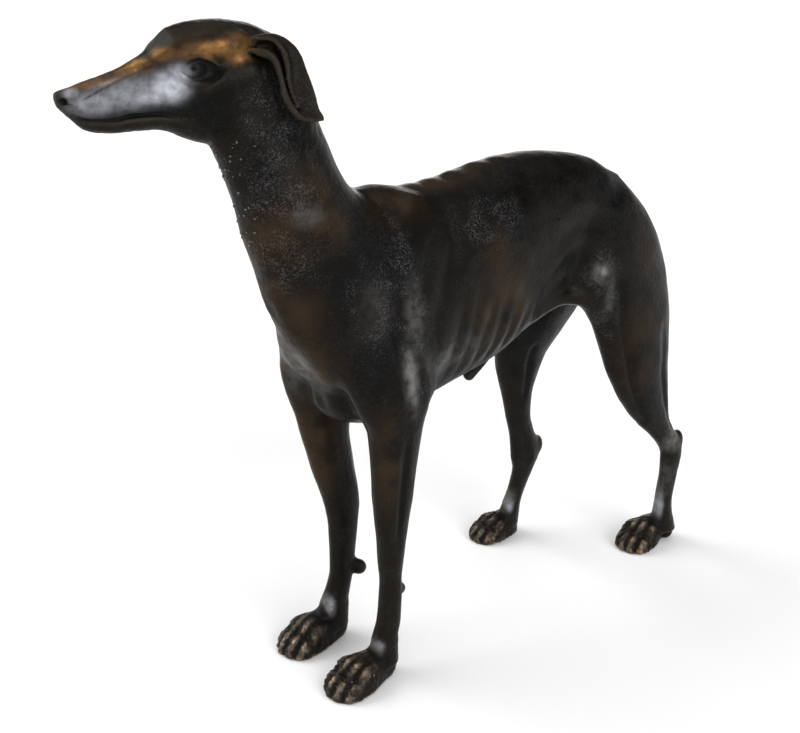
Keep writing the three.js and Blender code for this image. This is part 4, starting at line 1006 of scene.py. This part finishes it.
def casting_beads():
    """Modifier: the mesh that it is given, with small round beads strewn over its mark, each with a painted
    glint.
    """
    tree = bpy.data.node_groups.new("Casting beads", "GeometryNodeTree")
    tree.interface.new_socket("Geometry", in_out="INPUT", socket_type="NodeSocketGeometry")
    for name, kind, value in (
            ("Beads per Square Metre", "NodeSocketFloat", 1000), ("Bead Radius", "NodeSocketFloat", 0.001),
            ("Painted Glint", "NodeSocketFloat", 1), ("Seed", "NodeSocketInt", 0),
            ("Material", "NodeSocketMaterial", None)):
        socket = tree.interface.new_socket(name, in_out="INPUT", socket_type=kind)
        if value is not None:
            socket.default_value = value
    tree.interface.new_socket("Geometry", in_out="OUTPUT", socket_type="NodeSocketGeometry")
    nodes, links = tree.nodes, tree.links
    given, made = nodes.new("NodeGroupInput"), nodes.new("NodeGroupOutput")
    many = nodes.new("GeometryNodeInputNamedAttribute")
    many.data_type = "FLOAT"
    many.inputs["Name"].default_value = "beads"
    density = nodes.new("ShaderNodeMath")
    density.operation = "MULTIPLY"
    strewn = nodes.new("GeometryNodeDistributePointsOnFaces")
    ball = nodes.new("GeometryNodeMeshIcoSphere")
    ball.inputs["Subdivisions"].default_value = 2
    each = nodes.new("FunctionNodeRandomValue")
    each.inputs["Min"].default_value = 0.45
    each.inputs["Max"].default_value = 1.25
    placed = nodes.new("GeometryNodeInstanceOnPoints")
    solid = nodes.new("GeometryNodeRealizeInstances")
    smooth = nodes.new("GeometryNodeSetShadeSmooth")
    painted = nodes.new("GeometryNodeSetMaterial")
    # each bead is marked for the painted sheen, which paints a glint on it
    bright = nodes.new("GeometryNodeStoreNamedAttribute")
    bright.data_type = "FLOAT"
    bright.domain = "POINT"
    bright.inputs["Name"].default_value = "rubbed"
    joined = nodes.new("GeometryNodeJoinGeometry")
    for source, target in [
            (given.outputs["Beads per Square Metre"], density.inputs[0]),
            (many.outputs["Attribute"], density.inputs[1]),
            (given.outputs["Geometry"], strewn.inputs["Mesh"]),
            (density.outputs[0], strewn.inputs["Density"]),
            (given.outputs["Seed"], strewn.inputs["Seed"]),
            (given.outputs["Bead Radius"], ball.inputs["Radius"]),
            (given.outputs["Seed"], each.inputs["Seed"]),
            (strewn.outputs["Points"], placed.inputs["Points"]),
            (ball.outputs["Mesh"], placed.inputs["Instance"]),
            (each.outputs["Value"], placed.inputs["Scale"]),
            (placed.outputs["Instances"], solid.inputs["Geometry"]),
            (solid.outputs["Geometry"], smooth.inputs["Geometry"]),
            (smooth.outputs["Geometry"], painted.inputs["Geometry"]),
            (given.outputs["Material"], painted.inputs["Material"]),
            (painted.outputs["Geometry"], bright.inputs["Geometry"]),
            (given.outputs["Painted Glint"], bright.inputs["Value"]),
            (bright.outputs["Geometry"], joined.inputs["Geometry"]),
            (given.outputs["Geometry"], joined.inputs["Geometry"]),
            (joined.outputs["Geometry"], made.inputs["Geometry"])]:
        links.new(source, target)
    return tree


beads = 0.15 * toes
beads = np.maximum(beads, marked([
    ((0.0, -0.62, 1.10), (0.05, 0.03, 0.03)), ((0.0, -0.605, 1.04), (0.05, 0.025, 0.05)),
    ((0.0, -0.585, 0.97), (0.05, 0.02, 0.04)),
]))
clear = np.minimum(moved - low, high - moved).min(1) > BEAD_ROOM
mesh.attributes.new("beads", "FLOAT", "POINT").data.foreach_set(
    "value", (beads * clear).astype(np.float32))
strewing = casting.modifiers.new("beads", "NODES")
strewing.node_group = casting_beads()
wanted = {**BEADS, "Material": BRONZE}
for socket in strewing.node_group.interface.items_tree:
    if socket.in_out == "INPUT" and socket.name in wanted:
        strewing[socket.identifier] = wanted[socket.name]
beaded = casting.evaluated_get(bpy.context.evaluated_depsgraph_get())
finished = bpy.data.meshes.new_from_object(beaded)
casting.modifiers.clear()
casting.data = finished
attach(casting, "root")
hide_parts("greyhound")

# The studio: a pale seamless floor and a pale horizon under a dark sky. Three broad soft lights
# stand to the dog's left, to its right and above it, and a weak one behind it.


def floor():
    """A flat round of paper just below the soles, wide enough to fill the view."""
    sides, radius, level = 64, 30.0, lowest.z - 0.0002
    turns = [2 * math.pi * i / sides for i in range(sides)]
    corners = [(radius * math.cos(turn), radius * math.sin(turn), level) for turn in turns]
    paper = bpy.data.meshes.new("floor")
    paper.from_pydata(corners, [], [list(range(sides))])
    ground = bpy.data.objects.new("floor", paper)
    bpy.context.scene.collection.objects.link(ground)
    material = bpy.data.materials.new("pale_paper")
    material.use_nodes = True
    shader = material.node_tree.nodes["Principled BSDF"]
    shader.inputs["Base Color"].default_value = (0.96, 0.96, 0.96, 1)
    shader.inputs["Roughness"].default_value = 0.9
    shader.inputs["Specular IOR Level"].default_value = 0.1
    paper.materials.append(material)
    return ground


def soft_light(name, azimuth, elevation, spread, power):
    """A far soft light, turned to the figure, so that the whole floor is lit alike."""
    lamp = bpy.data.lights.new(name, "SUN")
    lamp.angle = math.radians(spread)
    lamp.energy = power
    stand = bpy.data.objects.new(name, lamp)
    bpy.context.scene.collection.objects.link(stand)
    a, e = math.radians(azimuth), math.radians(elevation)
    way = Vector((math.sin(a) * math.cos(e), -math.cos(a) * math.cos(e), math.sin(e)))
    stand.location = figure_middle + 2 * way
    stand.rotation_mode = "QUATERNION"
    stand.rotation_quaternion = way.to_track_quat("Z", "Y")
    return stand


floor()
soft_light("left", 84, 24, 44, 1.7)
soft_light("right", 305, 32, 60, 1.9)
soft_light("above", 60, 80, 100, 1.8)
soft_light("behind", 228, 12, 30, 0.5)
sky = bpy.data.worlds.new("studio")
sky.use_nodes = True
nodes, links = sky.node_tree.nodes, sky.node_tree.links
height = nodes.new("ShaderNodeSeparateXYZ")
links.new(nodes.new("ShaderNodeTexCoord").outputs["Generated"], height.inputs[0])
fading = nodes.new("ShaderNodeMapRange")
for name, value in (("From Min", 0.08), ("From Max", 0.32), ("To Min", 1.0), ("To Max", 0.03)):
    fading.inputs[name].default_value = value
links.new(height.outputs["Z"], fading.inputs["Value"])
links.new(fading.outputs["Result"], nodes["Background"].inputs["Strength"])
nodes["Background"].inputs["Color"].default_value = (1, 1, 1, 1)
bpy.context.scene.world = sky
bpy.context.scene.view_settings.view_transform = "Standard"
